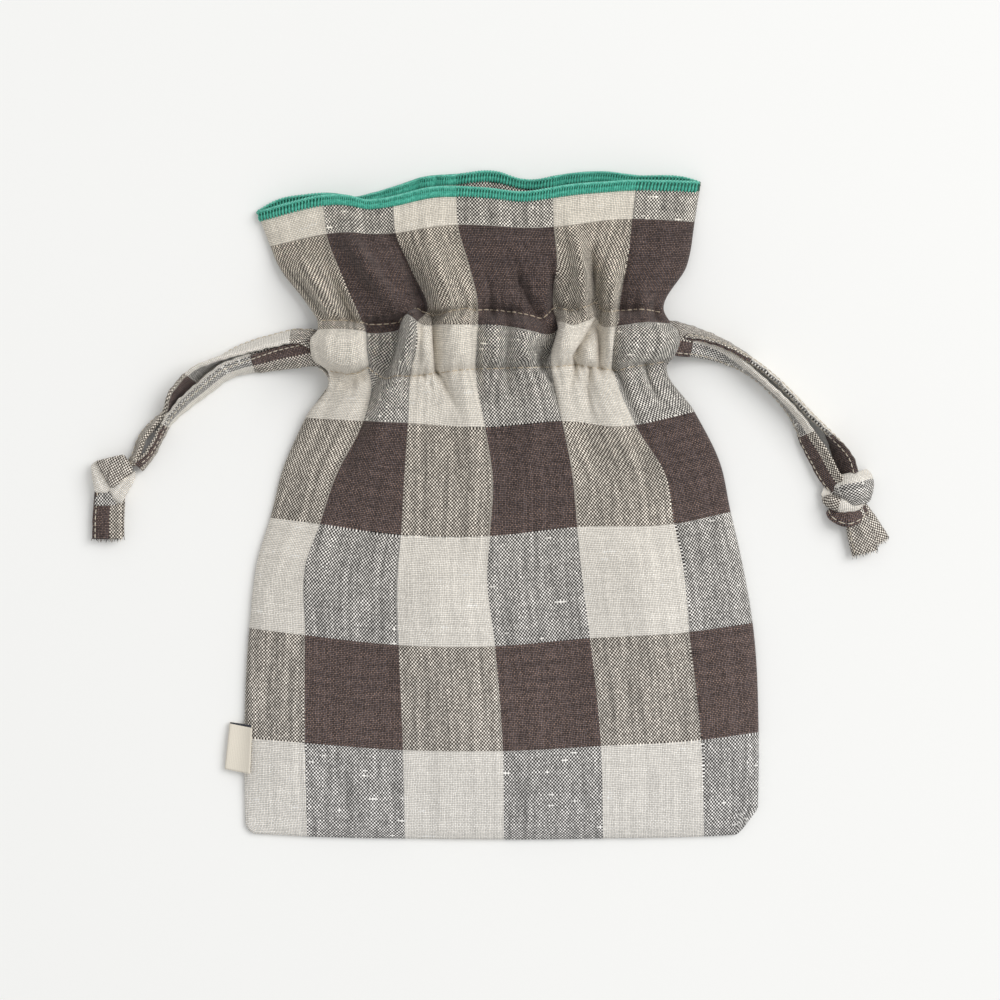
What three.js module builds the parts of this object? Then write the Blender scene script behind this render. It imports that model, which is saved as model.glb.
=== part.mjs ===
// Drawstring pouch of checked linen, lying on its back with its mouth towards +Y.
// Millimetres, +Z up. The origin is on the surface under the middle of the back panel,
// so the back panel's flat underside is z = 0 and X runs across the pouch.
import * as THREE from "three";

// Cloth and pattern pieces.
const clothThickness = 0.8; // slubby linen, as it lies slightly crumpled
const clothWidth = 200; // side seam to side seam, laid flat
const bodyHeight = 182; // bottom seam to the casing's lower stitch row
const casingHeight = 22.5; // between the two stitch rows
const collarHeight = 48; // upper stitch row to the mouth edge, front
const backCollarExtra = 5; // the back mouth edge shows above the front one
const cornerRadius = 8; // bottom corners after turning out

// Plan shape as it lies, drawn in part way by the drawstrings.
const rowWidth = 137; // across each stitch row
const casingBulge = 5; // the gathered casing swells past the rows, each side
const straightSide = 20; // the sides run straight this far up from the bottom
const waistPower = 2.2; // how late the sides turn in towards the casing
const mouthWidth = 172; // across the flared mouth
const mouthShift = -9; // the collar leans to the left
const mouthTilt = 4; // degrees, the mouth edge falls to the left

// Heights.
const bodyLoft = 9; // how far the front rises above the sewn edges
const neckGap = 6; // clear height through the gathered neck
const mouthGap = 9; // clear height in the mouth
const neckLift = 2; // the gathers hold the back casing off the surface
const liftReach = 40; // the back panel rises to that over this length
const rimLift = 1.1; // room for the edging under the back mouth edge
const loftRise = 55; // the front reaches full loft this far from the bottom seam
const gatherReach = 62; // the casing's height fades into the body over this length
const slitReach = 22; // the side edges close from the casing's slits over this length
const crownPower = 4; // how flat the front is across its width

// Seams, casing strips, edging and thread.
const clearance = 0.3; // between sewn pieces
const seamWidth = 6;
const seamThickness = 0.9;
const stripThickness = 0.6;
const stripInset = 16; // the strips stop short of the drawstrings' turns
const stripLip = 2; // sewn edge of a strip, beyond the channel
const edgingWidth = 4.3; // overlocked band at the mouth
const edgingThickness = 0.5;
const threadRadius = 0.3;
const rowMargin = 1; // stitch rows lie this far inside the casing's edges

// Drawstrings: folded and edge-stitched tape of the same linen.
const tapeWidth = 10.5;
const tapeThickness = 1.6;
const laneGap = 0.7; // between the two drawstrings in one channel
const turnDepth = 6; // a drawstring's turn near the far slit
const turnInset = 7; // that turn lies this far inside the slit
const slitLead = 10; // a strand spreads to its full width over this length
const knotHeight = 8.5;
const knotEdge = 2.5; // rounding of a knot's edges
const tailLength = 15;
const tailFlare = 1.2; // a cut end is wider by this, each side

// Folded side label, left bare.
const labelHeight = 19.5;
const labelReach = 9.5;
const labelLeaf = 0.45;
const labelRise = 35; // its middle above the bottom seam
const labelStandOff = 1.2; // its turning line lies outside the side seam

// Places along the pouch.
const pouchLength = bodyHeight + casingHeight + collarHeight;
const bottomY = -pouchLength / 2;
const lowerRowY = bottomY + bodyHeight;
const upperRowY = lowerRowY + casingHeight;
const rimY = upperRowY + collarHeight;
const channelY = (lowerRowY + upperRowY) / 2;

const linen = { color: 0xa39a90, roughness: 0.95, metalness: 0 };
const tapeLinen = { color: 0x8d837b, roughness: 0.95, metalness: 0 };
const greenThread = { color: 0x46a38d, roughness: 0.6, metalness: 0 };
const creamThread = { color: 0xd6cbb9, roughness: 0.7, metalness: 0 };
const ribbon = { color: 0xdcd6ca, roughness: 0.8, metalness: 0 };

const pouch = new THREE.Group();

function addMesh(name, geometry, finish) {
  const mesh = new THREE.Mesh(geometry, new THREE.MeshStandardMaterial(finish));
  mesh.name = name;
  pouch.add(mesh);
  return mesh;
}

const mix = THREE.MathUtils.lerp;
const clamp01 = (t) => THREE.MathUtils.clamp(t, 0, 1);
const ease = (t) => THREE.MathUtils.smoothstep(t, 0, 1);
const upward = new THREE.Vector3(0, 0, 1);

function indexedGeometry(points, faces) {
  const flat = points.flatMap((point) => point.toArray());
  return new THREE.BufferGeometry()
    .setAttribute("position", new THREE.Float32BufferAttribute(flat, 3))
    .setIndex(faces);
}

// A sheet of cloth: a grid of points above, a grid below, closed round the edge.
function sheet(rows, columns, above, below) {
  const points = [];
  const faces = [];
  for (const layer of [above, below])
    for (let row = 0; row <= rows; row++)
      for (let column = 0; column <= columns; column++) points.push(layer(row, column));
  const at = (layer, row, column) => (layer * (rows + 1) + row) * (columns + 1) + column;
  const quad = (a, b, c, d) => faces.push(a, b, c, a, c, d);
  for (let row = 0; row < rows; row++)
    for (let column = 0; column < columns; column++) {
      quad(at(0, row, column), at(0, row, column + 1), at(0, row + 1, column + 1), at(0, row + 1, column));
      quad(at(1, row, column), at(1, row + 1, column), at(1, row + 1, column + 1), at(1, row, column + 1));
    }
  for (let column = 0; column < columns; column++) {
    quad(at(1, 0, column), at(1, 0, column + 1), at(0, 0, column + 1), at(0, 0, column));
    quad(at(0, rows, column), at(0, rows, column + 1), at(1, rows, column + 1), at(1, rows, column));
  }
  for (let row = 0; row < rows; row++) {
    quad(at(0, row, 0), at(0, row + 1, 0), at(1, row + 1, 0), at(1, row, 0));
    quad(at(1, row, columns), at(1, row + 1, columns), at(0, row + 1, columns), at(0, row, columns));
  }
  return indexedGeometry(points, faces);
}

// A solid swept through stations {place, along, up, section}, a section being [side, up] offsets.
function sweep(stations) {
  const points = [];
  const faces = [];
  for (const { place, along, up, section } of stations) {
    const side = up.clone().cross(along).normalize();
    const lift = along.clone().cross(side).normalize();
    for (const [a, b] of section)
      points.push(place.clone().addScaledVector(side, a).addScaledVector(lift, b));
  }
  const count = stations[0].section.length;
  for (let step = 0; step + 1 < stations.length; step++)
    for (let i = 0; i < count; i++) {
      const here = step * count + i;
      const next = step * count + ((i + 1) % count);
      faces.push(here, next, next + count, here, next + count, here + count);
    }
  const flatPoint = ([a, b]) => new THREE.Vector2(a, b);
  const cap = (section) => THREE.ShapeUtils.triangulateShape(section.map(flatPoint), []);
  const last = (stations.length - 1) * count;
  for (const [a, b, c] of cap(stations[0].section)) faces.push(c, b, a);
  for (const [a, b, c] of cap(stations.at(-1).section)) faces.push(last + a, last + b, last + c);
  return indexedGeometry(points, faces);
}

// A flat section with its narrow sides rounded off.
function tapeSection(width, thickness) {
  const [w, h] = [width / 2, thickness / 2];
  const nip = h * 0.6;
  const halfway = [
    [-w, -nip],
    [nip - w, -h],
    [w - nip, -h],
    [w, -nip],
  ];
  return [...halfway, ...halfway.map(([a, b]) => [-a, -b])];
}

function stationsThrough(points, steps, section) {
  const curve = new THREE.CatmullRomCurve3(points, false, "centripetal");
  return Array.from({ length: steps + 1 }, (_, i) => ({
    place: curve.getPointAt(i / steps),
    along: curve.getTangentAt(i / steps),
    up: upward,
    section,
  }));
}

// Plan shape of both panels: half the width at each height up the pouch.
function halfWidth(y) {
  if (y <= lowerRowY) {
    const turnIn = clamp01((y - bottomY - straightSide) / (bodyHeight - straightSide)) ** waistPower;
    const intoCorner = Math.max(0, bottomY + cornerRadius - y);
    const rounded = cornerRadius - Math.sqrt(Math.max(0, cornerRadius ** 2 - intoCorner ** 2));
    return clothWidth / 2 - ((clothWidth - rowWidth) / 2) * turnIn - rounded;
  }
  if (y <= upperRowY) {
    const swell = Math.sin((Math.PI * (y - lowerRowY)) / casingHeight);
    return rowWidth / 2 + casingBulge * swell;
  }
  const flare = Math.sin((Math.PI / 2) * clamp01((y - upperRowY) / collarHeight));
  return mix(rowWidth, mouthWidth, flare) / 2;
}

// A point of the collar in plan: share 0 at the upper stitch row, 1 at the mouth edge.
function collarPlan(u, share, extra) {
  const x = u * halfWidth(upperRowY + share * collarHeight) + mouthShift * share;
  const fall = Math.tan(THREE.MathUtils.degToRad(mouthTilt));
  const height = collarHeight + extra + u * (mouthWidth / 2) * fall;
  return [x, upperRowY + share * height];
}

// Heights: the back panel's underside and top, the casing, and the front panel's inside.
function backUnder(y) {
  if (y <= upperRowY) return neckLift * ease((y - lowerRowY + liftReach) / liftReach);
  return mix(neckLift, rimLift, ease((y - upperRowY) / collarHeight));
}
const backTop = (y) => backUnder(y) + clothThickness;
const channelDepth = tapeThickness + 2 * clearance;
const casingZ = backTop(channelY) + 2 * channelDepth + 2 * stripThickness + neckGap;
const seamStack = seamThickness + 2 * clearance;
const edgingStack = 2 * edgingThickness + 3 * clearance;
const sewnEdge = (y) => backTop(y) + Math.max(seamStack, edgingStack);

function beyondCasing(y) {
  return Math.max(0, lowerRowY - y, y - upperRowY);
}
function edgeHeight(y) {
  return mix(casingZ, sewnEdge(y), ease(beyondCasing(y) / slitReach));
}
function middleHeight(y) {
  if (y > upperRowY)
    return mix(casingZ, backTop(y) + mouthGap, ease((y - upperRowY) / collarHeight));
  const rise = 1 - (1 - clamp01((y - bottomY) / loftRise)) ** crownPower;
  return mix(casingZ, sewnEdge(y) + bodyLoft * rise, ease(beyondCasing(y) / gatherReach));
}
function frontInside(u, y) {
  return mix(middleHeight(y), edgeHeight(y), Math.abs(u) ** crownPower);
}

// Rows of a panel's grid from the bottom seam to the upper stitch row, closer at the corners.
function panelRows(cornerSteps, bodySteps, casingSteps) {
  const rows = [];
  const cornerTop = bottomY + cornerRadius;
  for (let i = 0; i < cornerSteps; i++)
    rows.push(cornerTop - cornerRadius * Math.cos((i / cornerSteps) * (Math.PI / 2)));
  for (let i = 0; i < bodySteps; i++) rows.push(mix(cornerTop, lowerRowY, i / bodySteps));
  for (let i = 0; i <= casingSteps; i++) rows.push(mix(lowerRowY, upperRowY, i / casingSteps));
  return rows;
}
// Columns from -1 at the left edge to 1 at the right, closer towards the edges.
const across = (column, columns) => Math.sin(((column / columns) * 2 - 1) * (Math.PI / 2));
const backColumns = 13;
const frontColumns = 20;
const collarSteps = 6;

// Back panel: one piece of cloth from the bottom seam to the mouth.
function backCollarPoint(u, share, lift) {
  const [x, y] = collarPlan(u, share, backCollarExtra);
  return new THREE.Vector3(x, y, backUnder(upperRowY + share * collarHeight) + lift);
}
{
  const rows = panelRows(3, 12, 5);
  const bodySteps = rows.length - 1;
  const at = (lift) => (row, column) => {
    const u = across(column, backColumns);
    if (row > bodySteps) return backCollarPoint(u, (row - bodySteps) / collarSteps, lift);
    return new THREE.Vector3(u * halfWidth(rows[row]), rows[row], backUnder(rows[row]) + lift);
  };
  addMesh("back_panel", sheet(bodySteps + collarSteps, backColumns, at(clothThickness), at(0)), linen);
}

// Front panel up to the upper stitch row, where the cloth bends when the mouth is opened.
{
  const rows = panelRows(3, 16, 6);
  const at = (lift) => (row, column) => {
    const u = across(column, frontColumns);
    return new THREE.Vector3(u * halfWidth(rows[row]), rows[row], frontInside(u, rows[row]) + lift);
  };
  addMesh("front_panel", sheet(rows.length - 1, frontColumns, at(clothThickness), at(0)), linen);
}

// Front collar, which turns up about the upper stitch row.
function frontCollarPoint(u, share, lift) {
  const [x, y] = collarPlan(u, share, 0);
  return new THREE.Vector3(x, y + clearance, frontInside(u, upperRowY + share * collarHeight) + lift);
}
{
  const at = (lift) => (row, column) =>
    frontCollarPoint(across(column, frontColumns), row / collarSteps, lift);
  addMesh("front_collar", sheet(collarSteps, frontColumns, at(clothThickness), at(0)), linen);
}

// Overlocked edging: a channel of thread round each mouth edge.
function edging(name, edgePoint) {
  const inner = clothThickness / 2 + clearance;
  const outer = inner + edgingThickness;
  const lip = clearance + edgingThickness;
  const hem = lip - edgingWidth;
  const section = [
    [lip, -outer],
    [lip, outer],
    [hem, outer],
    [hem, inner],
    [clearance, inner],
    [clearance, -inner],
    [hem, -inner],
    [hem, -outer],
  ];
  const edge = Array.from({ length: frontColumns + 1 }, (_, i) => edgePoint(across(i, frontColumns)));
  const stations = edge.map((place, i) => {
    const before = edge[Math.max(0, i - 1)];
    const after = edge[Math.min(frontColumns, i + 1)];
    return { place, along: after.clone().sub(before).normalize(), up: upward, section };
  });
  addMesh(name, sweep(stations), greenThread);
}
edging("front_mouth_edging", (u) => frontCollarPoint(u, 1, clothThickness / 2));
edging("back_mouth_edging", (u) => backCollarPoint(u, 1, clothThickness / 2));

// Casing strips: each is sewn along both edges and bows away from its panel over the drawstrings.
function casingStrip(name, panelZ, inward) {
  const half = casingHeight / 2;
  const wall = half - stripLip;
  const sewn = panelZ + inward * clearance;
  const bowed = panelZ + inward * channelDepth;
  const skin = inward * stripThickness;
  const profile = [
    [-half, sewn],
    [-wall, sewn],
    [-wall, bowed],
    [wall, bowed],
    [wall, sewn],
    [half, sewn],
    [half, sewn + skin],
    [wall + stripThickness, sewn + skin],
    [wall + stripThickness, bowed + skin],
    [-wall - stripThickness, bowed + skin],
    [-wall - stripThickness, sewn + skin],
    [-half, sewn + skin],
  ];
  const shape = new THREE.Shape(profile.map(([y, z]) => new THREE.Vector2(y, z)));
  const length = rowWidth - 2 * stripInset;
  const geometry = new THREE.ExtrudeGeometry(shape, { depth: length, bevelEnabled: false });
  const [alongX, alongY, alongZ] = [new THREE.Vector3(1, 0, 0), new THREE.Vector3(0, 1, 0), upward];
  geometry.applyMatrix4(new THREE.Matrix4().makeBasis(alongY, alongZ, alongX));
  addMesh(name, geometry, linen).position.set(-length / 2, channelY, 0);
}
casingStrip("back_casing_strip", backTop(channelY), 1);
casingStrip("front_casing_strip", casingZ, -1);

// Stitch rows: the needle thread that lies on the outside of each panel.
function stitchRow(name, y, surfaceZ, outward) {
  const length = rowWidth - 2 * rowMargin;
  const row = addMesh(name, new THREE.CylinderGeometry(threadRadius, threadRadius, length, 8), creamThread);
  row.rotation.z = Math.PI / 2;
  row.position.set(0, y, surfaceZ + outward * (clearance + threadRadius));
}
const frontOutside = casingZ + clothThickness;
stitchRow("front_upper_stitch_row", upperRowY - rowMargin, frontOutside, 1);
stitchRow("front_lower_stitch_row", lowerRowY + rowMargin, frontOutside, 1);
stitchRow("back_upper_stitch_row", upperRowY - rowMargin, backUnder(channelY), -1);
stitchRow("back_lower_stitch_row", lowerRowY + rowMargin, backUnder(channelY), -1);

// Seam allowances, pressed flat inside the edges of the back panel.
const seamInset = clearance + seamWidth / 2;
const seamLift = clearance + seamThickness / 2;
function seam(name, points, steps) {
  addMesh(name, sweep(stationsThrough(points, steps, tapeSection(seamWidth, seamThickness))), linen);
}
function sideSeams(hand, outward) {
  const shares = (count) => Array.from({ length: count + 1 }, (_, i) => i / count);
  const sidePoints = shares(10).map((share) => {
    const y = mix(bottomY + cornerRadius, lowerRowY - clearance, share);
    return new THREE.Vector3(outward * (halfWidth(y) - seamInset), y, backTop(y) + seamLift);
  });
  seam(`${hand}_side_seam`, sidePoints, 24);
  const edgingShare = (edgingWidth + seamWidth / 2) / collarHeight;
  const collarPoints = shares(5).map((share) => {
    const rise = mix(rowMargin / collarHeight, 1 - edgingShare, share);
    const [x, y] = collarPlan(outward, rise, 0);
    return new THREE.Vector3(x - outward * seamInset, y, backTop(upperRowY + rise * collarHeight) + seamLift);
  });
  seam(`${hand}_collar_seam`, collarPoints, 10);
}
sideSeams("left", -1);
sideSeams("right", 1);
{
  const half = clothWidth / 2 - Math.max(cornerRadius, seamWidth + 2 * clearance);
  const y = bottomY + seamInset;
  const points = [-half, 0, half].map((x) => new THREE.Vector3(x, y, backTop(y) + seamLift));
  seam("bottom_seam", points, 8);
}

// Side label: a ribbon folded in two with its fold outwards, sewn into the left seam.
{
  const half = labelLeaf + clearance / 2;
  const foldX = half - labelReach;
  const profile = new THREE.Shape();
  profile.absarc(0, 0, half, -Math.PI / 2, Math.PI / 2, false);
  profile.absarc(foldX, 0, half, Math.PI / 2, (3 * Math.PI) / 2, false);
  const between = new THREE.Path();
  between.moveTo(0, -clearance / 2);
  between.lineTo(0, clearance / 2);
  between.lineTo(foldX, clearance / 2);
  between.lineTo(foldX, -clearance / 2);
  profile.holes.push(between);
  const settings = { depth: labelHeight, bevelEnabled: false, curveSegments: 4 };
  const label = addMesh("side_label", new THREE.ExtrudeGeometry(profile, settings), ribbon);
  const labelY = bottomY + labelRise;
  label.rotation.x = Math.PI / 2;
  label.position.set(
    -halfWidth(labelY) - labelStandOff,
    labelY + labelHeight / 2,
    backTop(labelY) + clearance + half,
  );
}

// Drawstrings. Each runs through both channels in its own lane, turns round at the far slit
// and leaves by the near slit as two strands, which are knotted together.
const bunchedWidth = (casingHeight - 2 * stripLip - laneGap - 2 * clearance) / 2;
const slitX = halfWidth(channelY);
const runEndX = rowWidth / 2 - turnInset - turnDepth;
const runHeight = {
  front: casingZ - clearance - tapeThickness / 2,
  back: backTop(channelY) + clearance + tapeThickness / 2,
};
const layer = { front: 1.5 * tapeThickness + clearance, back: 0.5 * tapeThickness };

// The free strands as they lie, from where they turn at the slit to the knot, chosen by hand:
// distance outwards, distance up the pouch, and height above that strand's layer.
const routes = {
  left: {
    front: [
      [9, -2, 8],
      [21.7, -4.8, 5],
      [28, -6.8, 3],
      [36.9, -14, 1],
      [45.9, -20.5, 0.3],
      [51, -26, 0],
      [56.5, -32.5, 0],
      [61.7, -38.5, 0],
      [65, -43.5, 0],
    ],
    back: [
      [9, 3.8, 1.6],
      [18.2, 4.6, 1],
      [31.9, -0.5, 0],
      [43.9, -8.4, 0],
      [50.2, -15.4, 0],
      [55, -24, 0],
      [59, -32, 0],
      [61.7, -38.5, 0],
      [65, -43.5, 0],
    ],
  },
  right: {
    front: [
      [7.5, -4, 8],
      [15.9, -11.5, 5],
      [24.5, -19.6, 2],
      [31.9, -26.6, 0.5],
      [37.5, -34, 0],
      [41.5, -41.4, 0],
      [46, -48.5, 0],
      [50.3, -54.5, 0],
      [53.5, -60, 0],
    ],
    back: [
      [10.8, -4, 1.6],
      [19, -11.5, 1],
      [28, -20, 0],
      [36.9, -28.2, 0],
      [42.5, -35.2, 0],
      [46.8, -43.5, 0],
      [50.3, -54.5, 0],
      [53.5, -60, 0],
    ],
  },
};
// Outline of each knot as it lies: distance past the strands' end, and distance across.
// The third and fourth points are the edge that the cut ends leave by.
const knotOutlines = {
  left: [
    [0, -4.5],
    [7, -4.8],
    [14.4, -4.8],
    [19.5, 6.8],
    [13, 12.5],
    [8.4, 15],
    [1.5, 9.5],
    [0, 5],
  ],
  right: [
    [0, -5],
    [3.2, -7.4],
    [14, -8],
    [14.5, 3.5],
    [9.2, 9.4],
    [3.5, 10.3],
    [0.5, 7.5],
    [0, 5],
  ],
};
const tailFan = { left: 4, right: 12 }; // degrees that each cut end turns from the middle

function drawstring(hand, outward, lane) {
  const place = (x, y, z) => new THREE.Vector3(outward * x, lane + y, z);
  const bunched = tapeSection(bunchedWidth, tapeThickness);
  const swivel = bunchedWidth / 2;
  const swivelX = slitX + clearance + swivel;

  for (const side of ["front", "back"]) {
    const run = [place(-runEndX, 0, runHeight[side]), place(slitX, 0, runHeight[side])];
    addMesh(`${hand}_${side}_run`, sweep(stationsThrough(run, 2, bunched)), tapeLinen);

    // The strand starts in a half round about the point that it swings on.
    const leading = [-0.97, -0.75, -0.4, 0].map((share) => ({
      place: place(swivelX + share * swivel, 0, runHeight[side]),
      along: new THREE.Vector3(outward, 0, 0),
      up: upward,
      section: tapeSection(2 * swivel * Math.sqrt(1 - share ** 2), tapeThickness),
    }));
    const route = routes[hand][side].map(([x, y, z]) => place(swivelX + x, y, layer[side] + z));
    const laid = stationsThrough([place(swivelX, 0, runHeight[side]), ...route], 26).slice(1);
    for (const station of laid) {
      const spread = ease(Math.abs(station.place.x - outward * swivelX) / slitLead);
      station.section = tapeSection(mix(bunchedWidth, tapeWidth, spread), tapeThickness);
    }
    addMesh(`${hand}_${side}_strand`, sweep([...leading, ...laid]), tapeLinen);
  }

  // The turn at the far slit, from the front channel round to the back one.
  const turnX = runEndX + clearance;
  const turnRoute = [
    [0, 0],
    [0.5, 0],
    [1, 0.25],
    [1, 0.75],
    [0.5, 1],
    [0, 1],
  ].map(([depth, fall]) => place(-turnX - depth * turnDepth, 0, mix(runHeight.front, runHeight.back, fall)));
  const turn = stationsThrough(turnRoute, 14, bunched);
  for (const station of turn) station.up = new THREE.Vector3(0, outward, 0).cross(station.along);
  addMesh(`${hand}_drawstring_turn`, sweep(turn), tapeLinen);

  // The knot, past the end of the strands, with rounded edges.
  const [beforeEnd, end] = routes[hand].front.slice(-2);
  const heading = new THREE.Vector2(end[0] - beforeEnd[0], end[1] - beforeEnd[1]).normalize();
  const fromEnd = ([along, across]) => {
    const reach = along + clearance;
    const x = swivelX + end[0] + reach * heading.x - across * heading.y;
    return new THREE.Vector2(outward * x, lane + end[1] + reach * heading.y + across * heading.x);
  };
  const outline = knotOutlines[hand].map(fromEnd);
  const knot = new THREE.ExtrudeGeometry(new THREE.Shape(outline), {
    depth: knotHeight - 2 * knotEdge,
    bevelThickness: knotEdge,
    bevelSize: knotEdge,
    bevelOffset: -knotEdge,
    bevelSegments: 3,
  });
  addMesh(`${hand}_knot`, knot.translate(0, 0, knotEdge), tapeLinen);

  // The cut ends of the tape, one over the other, fanned out below the knot.
  const root = outline[2].clone().add(outline[3]).multiplyScalar(0.5);
  const edge = outline[3].clone().sub(outline[2]).normalize();
  const away = new THREE.Vector2(edge.y, -edge.x).multiplyScalar(outward);
  for (const [side, turnWay] of [["front", 1], ["back", -1]]) {
    const fan = THREE.MathUtils.degToRad(tailFan[hand]);
    const along = away.clone().rotateAround(new THREE.Vector2(), turnWay * fan);
    const start = clearance + (tapeWidth / 2) * Math.sin(fan);
    const stations = [0, 0.5, 1].map((share) => {
      const spot = root.clone().addScaledVector(along, start + share * tailLength);
      return {
        place: new THREE.Vector3(spot.x, spot.y, layer[side]),
        along: new THREE.Vector3(along.x, along.y, 0),
        up: upward,
        section: tapeSection(tapeWidth + 2 * tailFlare * share, tapeThickness),
      };
    });
    addMesh(`${hand}_${side}_tail`, sweep(stations), tapeLinen);
  }
}
const laneOffset = (bunchedWidth + laneGap) / 2;
drawstring("left", -1, channelY - laneOffset);
drawstring("right", 1, channelY + laneOffset);

export default pouch;
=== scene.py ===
import bpy
import numpy as np
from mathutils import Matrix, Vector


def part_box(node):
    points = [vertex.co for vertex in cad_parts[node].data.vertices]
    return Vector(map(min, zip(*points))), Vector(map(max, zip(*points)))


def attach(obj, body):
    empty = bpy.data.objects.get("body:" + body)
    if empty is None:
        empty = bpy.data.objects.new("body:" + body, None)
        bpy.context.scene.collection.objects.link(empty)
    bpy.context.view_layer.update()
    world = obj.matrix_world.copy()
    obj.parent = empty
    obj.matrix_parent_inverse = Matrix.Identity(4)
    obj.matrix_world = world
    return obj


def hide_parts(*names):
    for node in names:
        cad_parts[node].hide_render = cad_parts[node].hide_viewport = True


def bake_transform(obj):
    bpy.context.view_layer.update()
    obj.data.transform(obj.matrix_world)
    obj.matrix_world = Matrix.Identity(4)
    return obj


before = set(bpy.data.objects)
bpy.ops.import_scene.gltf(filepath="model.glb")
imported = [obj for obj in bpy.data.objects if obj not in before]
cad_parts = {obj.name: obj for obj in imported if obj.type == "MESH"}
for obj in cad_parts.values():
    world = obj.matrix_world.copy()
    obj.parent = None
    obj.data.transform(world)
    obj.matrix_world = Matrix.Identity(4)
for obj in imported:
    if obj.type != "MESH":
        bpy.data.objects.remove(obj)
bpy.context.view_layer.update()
METRES = 0.001

# Camera. The photograph looks straight down on the pouch, from a little under a metre away,
# so that what lies higher looks slightly larger.
PIXEL = 0.39
IMAGE_SIDE = 1000
PIXEL_OF_ORIGIN = np.array([503.0, 513.6])
LENS = 85
SENSOR = 36
eye_height = IMAGE_SIDE * PIXEL * LENS / SENSOR
eye_place = (np.array([0.5, 0.5]) * IMAGE_SIDE - PIXEL_OF_ORIGIN) * PIXEL * [1, -1]


def seen(pixels, heights):
    """The points at these heights that the photograph shows at these pixels."""
    pixels, heights = np.asarray(pixels, float), np.asarray(heights, float)
    flat = (pixels - PIXEL_OF_ORIGIN) * PIXEL * [1, -1]
    drawn_in = (1 - heights / eye_height)[..., None]
    plan = eye_place + (flat - eye_place) * drawn_in
    return np.concatenate([plan, heights[..., None]], axis=-1)


camera_data = bpy.data.cameras.new("camera")
camera_data.lens = LENS
camera_data.sensor_width = SENSOR
camera = bpy.data.objects.new("camera", camera_data)
camera.location = np.array([*eye_place, eye_height]) * METRES
bpy.context.collection.objects.link(camera)
bpy.context.scene.camera = camera
bpy.context.scene.view_settings.view_transform = "Standard"


# Drawstrings. Two lengths of the pouch's own linen, cut along the stripes, folded into a flat
# tape and stitched along the open edge. Each comes out of the casing as two strands that lean
# on each other, twist until they stand on edge, and end in one knot with two short cut ends.
class Wire:
    """A value inside a material, with the operators that add a node to work on it."""

    def __init__(self, tree, socket=None):
        self.tree = tree
        self.socket = socket

    def node(self, kind, settings, values, output=0):
        made = self.tree.nodes.new(kind)
        for name, value in settings.items():
            setattr(made, name, value)
        for name, value in values.items():
            if isinstance(value, Wire):
                self.tree.links.new(value.socket, made.inputs[name])
            else:
                made.inputs[name].default_value = value
        return Wire(self.tree, made.outputs[output])

    def math(self, operation, *others):
        values = dict(enumerate((self, *others)))
        return self.node("ShaderNodeMath", {"operation": operation}, values)

    def __add__(self, other):
        return self.math("ADD", other)

    def __sub__(self, other):
        return self.math("SUBTRACT", other)

    def __mul__(self, other):
        return self.math("MULTIPLY", other)

    def __truediv__(self, other):
        return self.math("DIVIDE", other)

    def __radd__(self, other):
        return self + other

    def __rsub__(self, other):
        return self * -1.0 + other

    def __rmul__(self, other):
        return self * other

    def floor(self):
        return self.math("FLOOR")

    def part(self, output):
        return self.node("ShaderNodeSeparateXYZ", {}, {0: self}, output)

    def tint(self, start, end):
        """From one colour to another as this goes from 0 to 1."""
        return self.node("ShaderNodeMix", {"data_type": "RGBA"}, {0: self, 6: start, 7: end}, 2)

    def pair(self, other):
        return self.node("ShaderNodeCombineXYZ", {}, {0: self, 1: other})

    def noise(self, place, scale, detail, dimensions="2D", output=0):
        values = {"Vector": place, "Scale": scale, "Detail": detail}
        return self.node("ShaderNodeTexNoise", {"noise_dimensions": dimensions}, values, output)

    def dims(self, factor):
        """This colour, lighter or darker by a factor."""
        grey = self.node("ShaderNodeCombineColor", {}, {0: factor, 1: factor, 2: factor})
        settings = {"data_type": "RGBA", "blend_type": "MULTIPLY"}
        return self.node("ShaderNodeMix", settings, {0: 1.0, 6: self, 7: grey}, 2)


def paint(red, green, blue):
    """A colour as a picture shows it, from 0 to 255, for a shader."""
    share = np.array([red, green, blue]) / 255
    light = np.where(share <= 0.04045, share / 12.92, ((share + 0.055) / 1.055) ** 2.4)
    return (*light, 1.0)


SHINE = 0.2


def new_material(name, roughness, sheen):
    material = bpy.data.materials.new(name)
    material.use_nodes = True
    shader = material.node_tree.nodes["Principled BSDF"]
    shader.inputs["Roughness"].default_value = roughness
    shader.inputs["Specular IOR Level"].default_value = SHINE
    shader.inputs["Sheen Weight"].default_value = sheen
    return material, shader, Wire(material.node_tree)


def finish_material(start, shader, colour, relief, depth, strength):
    bump = {"Strength": strength, "Distance": depth * METRES, "Height": relief}
    bumped = start.node("ShaderNodeBump", {}, bump)
    start.tree.links.new(colour.socket, shader.inputs["Base Color"])
    start.tree.links.new(bumped.socket, shader.inputs["Normal"])


WARP_PITCH = 0.62
WEFT_PITCH = 0.7
FIRST_DARK_WARP = 23.8
WARP_STRIPE = 38.6
FIRST_DARK_WEFT = 35.0
WEFT_STRIPE = 42.5
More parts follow.
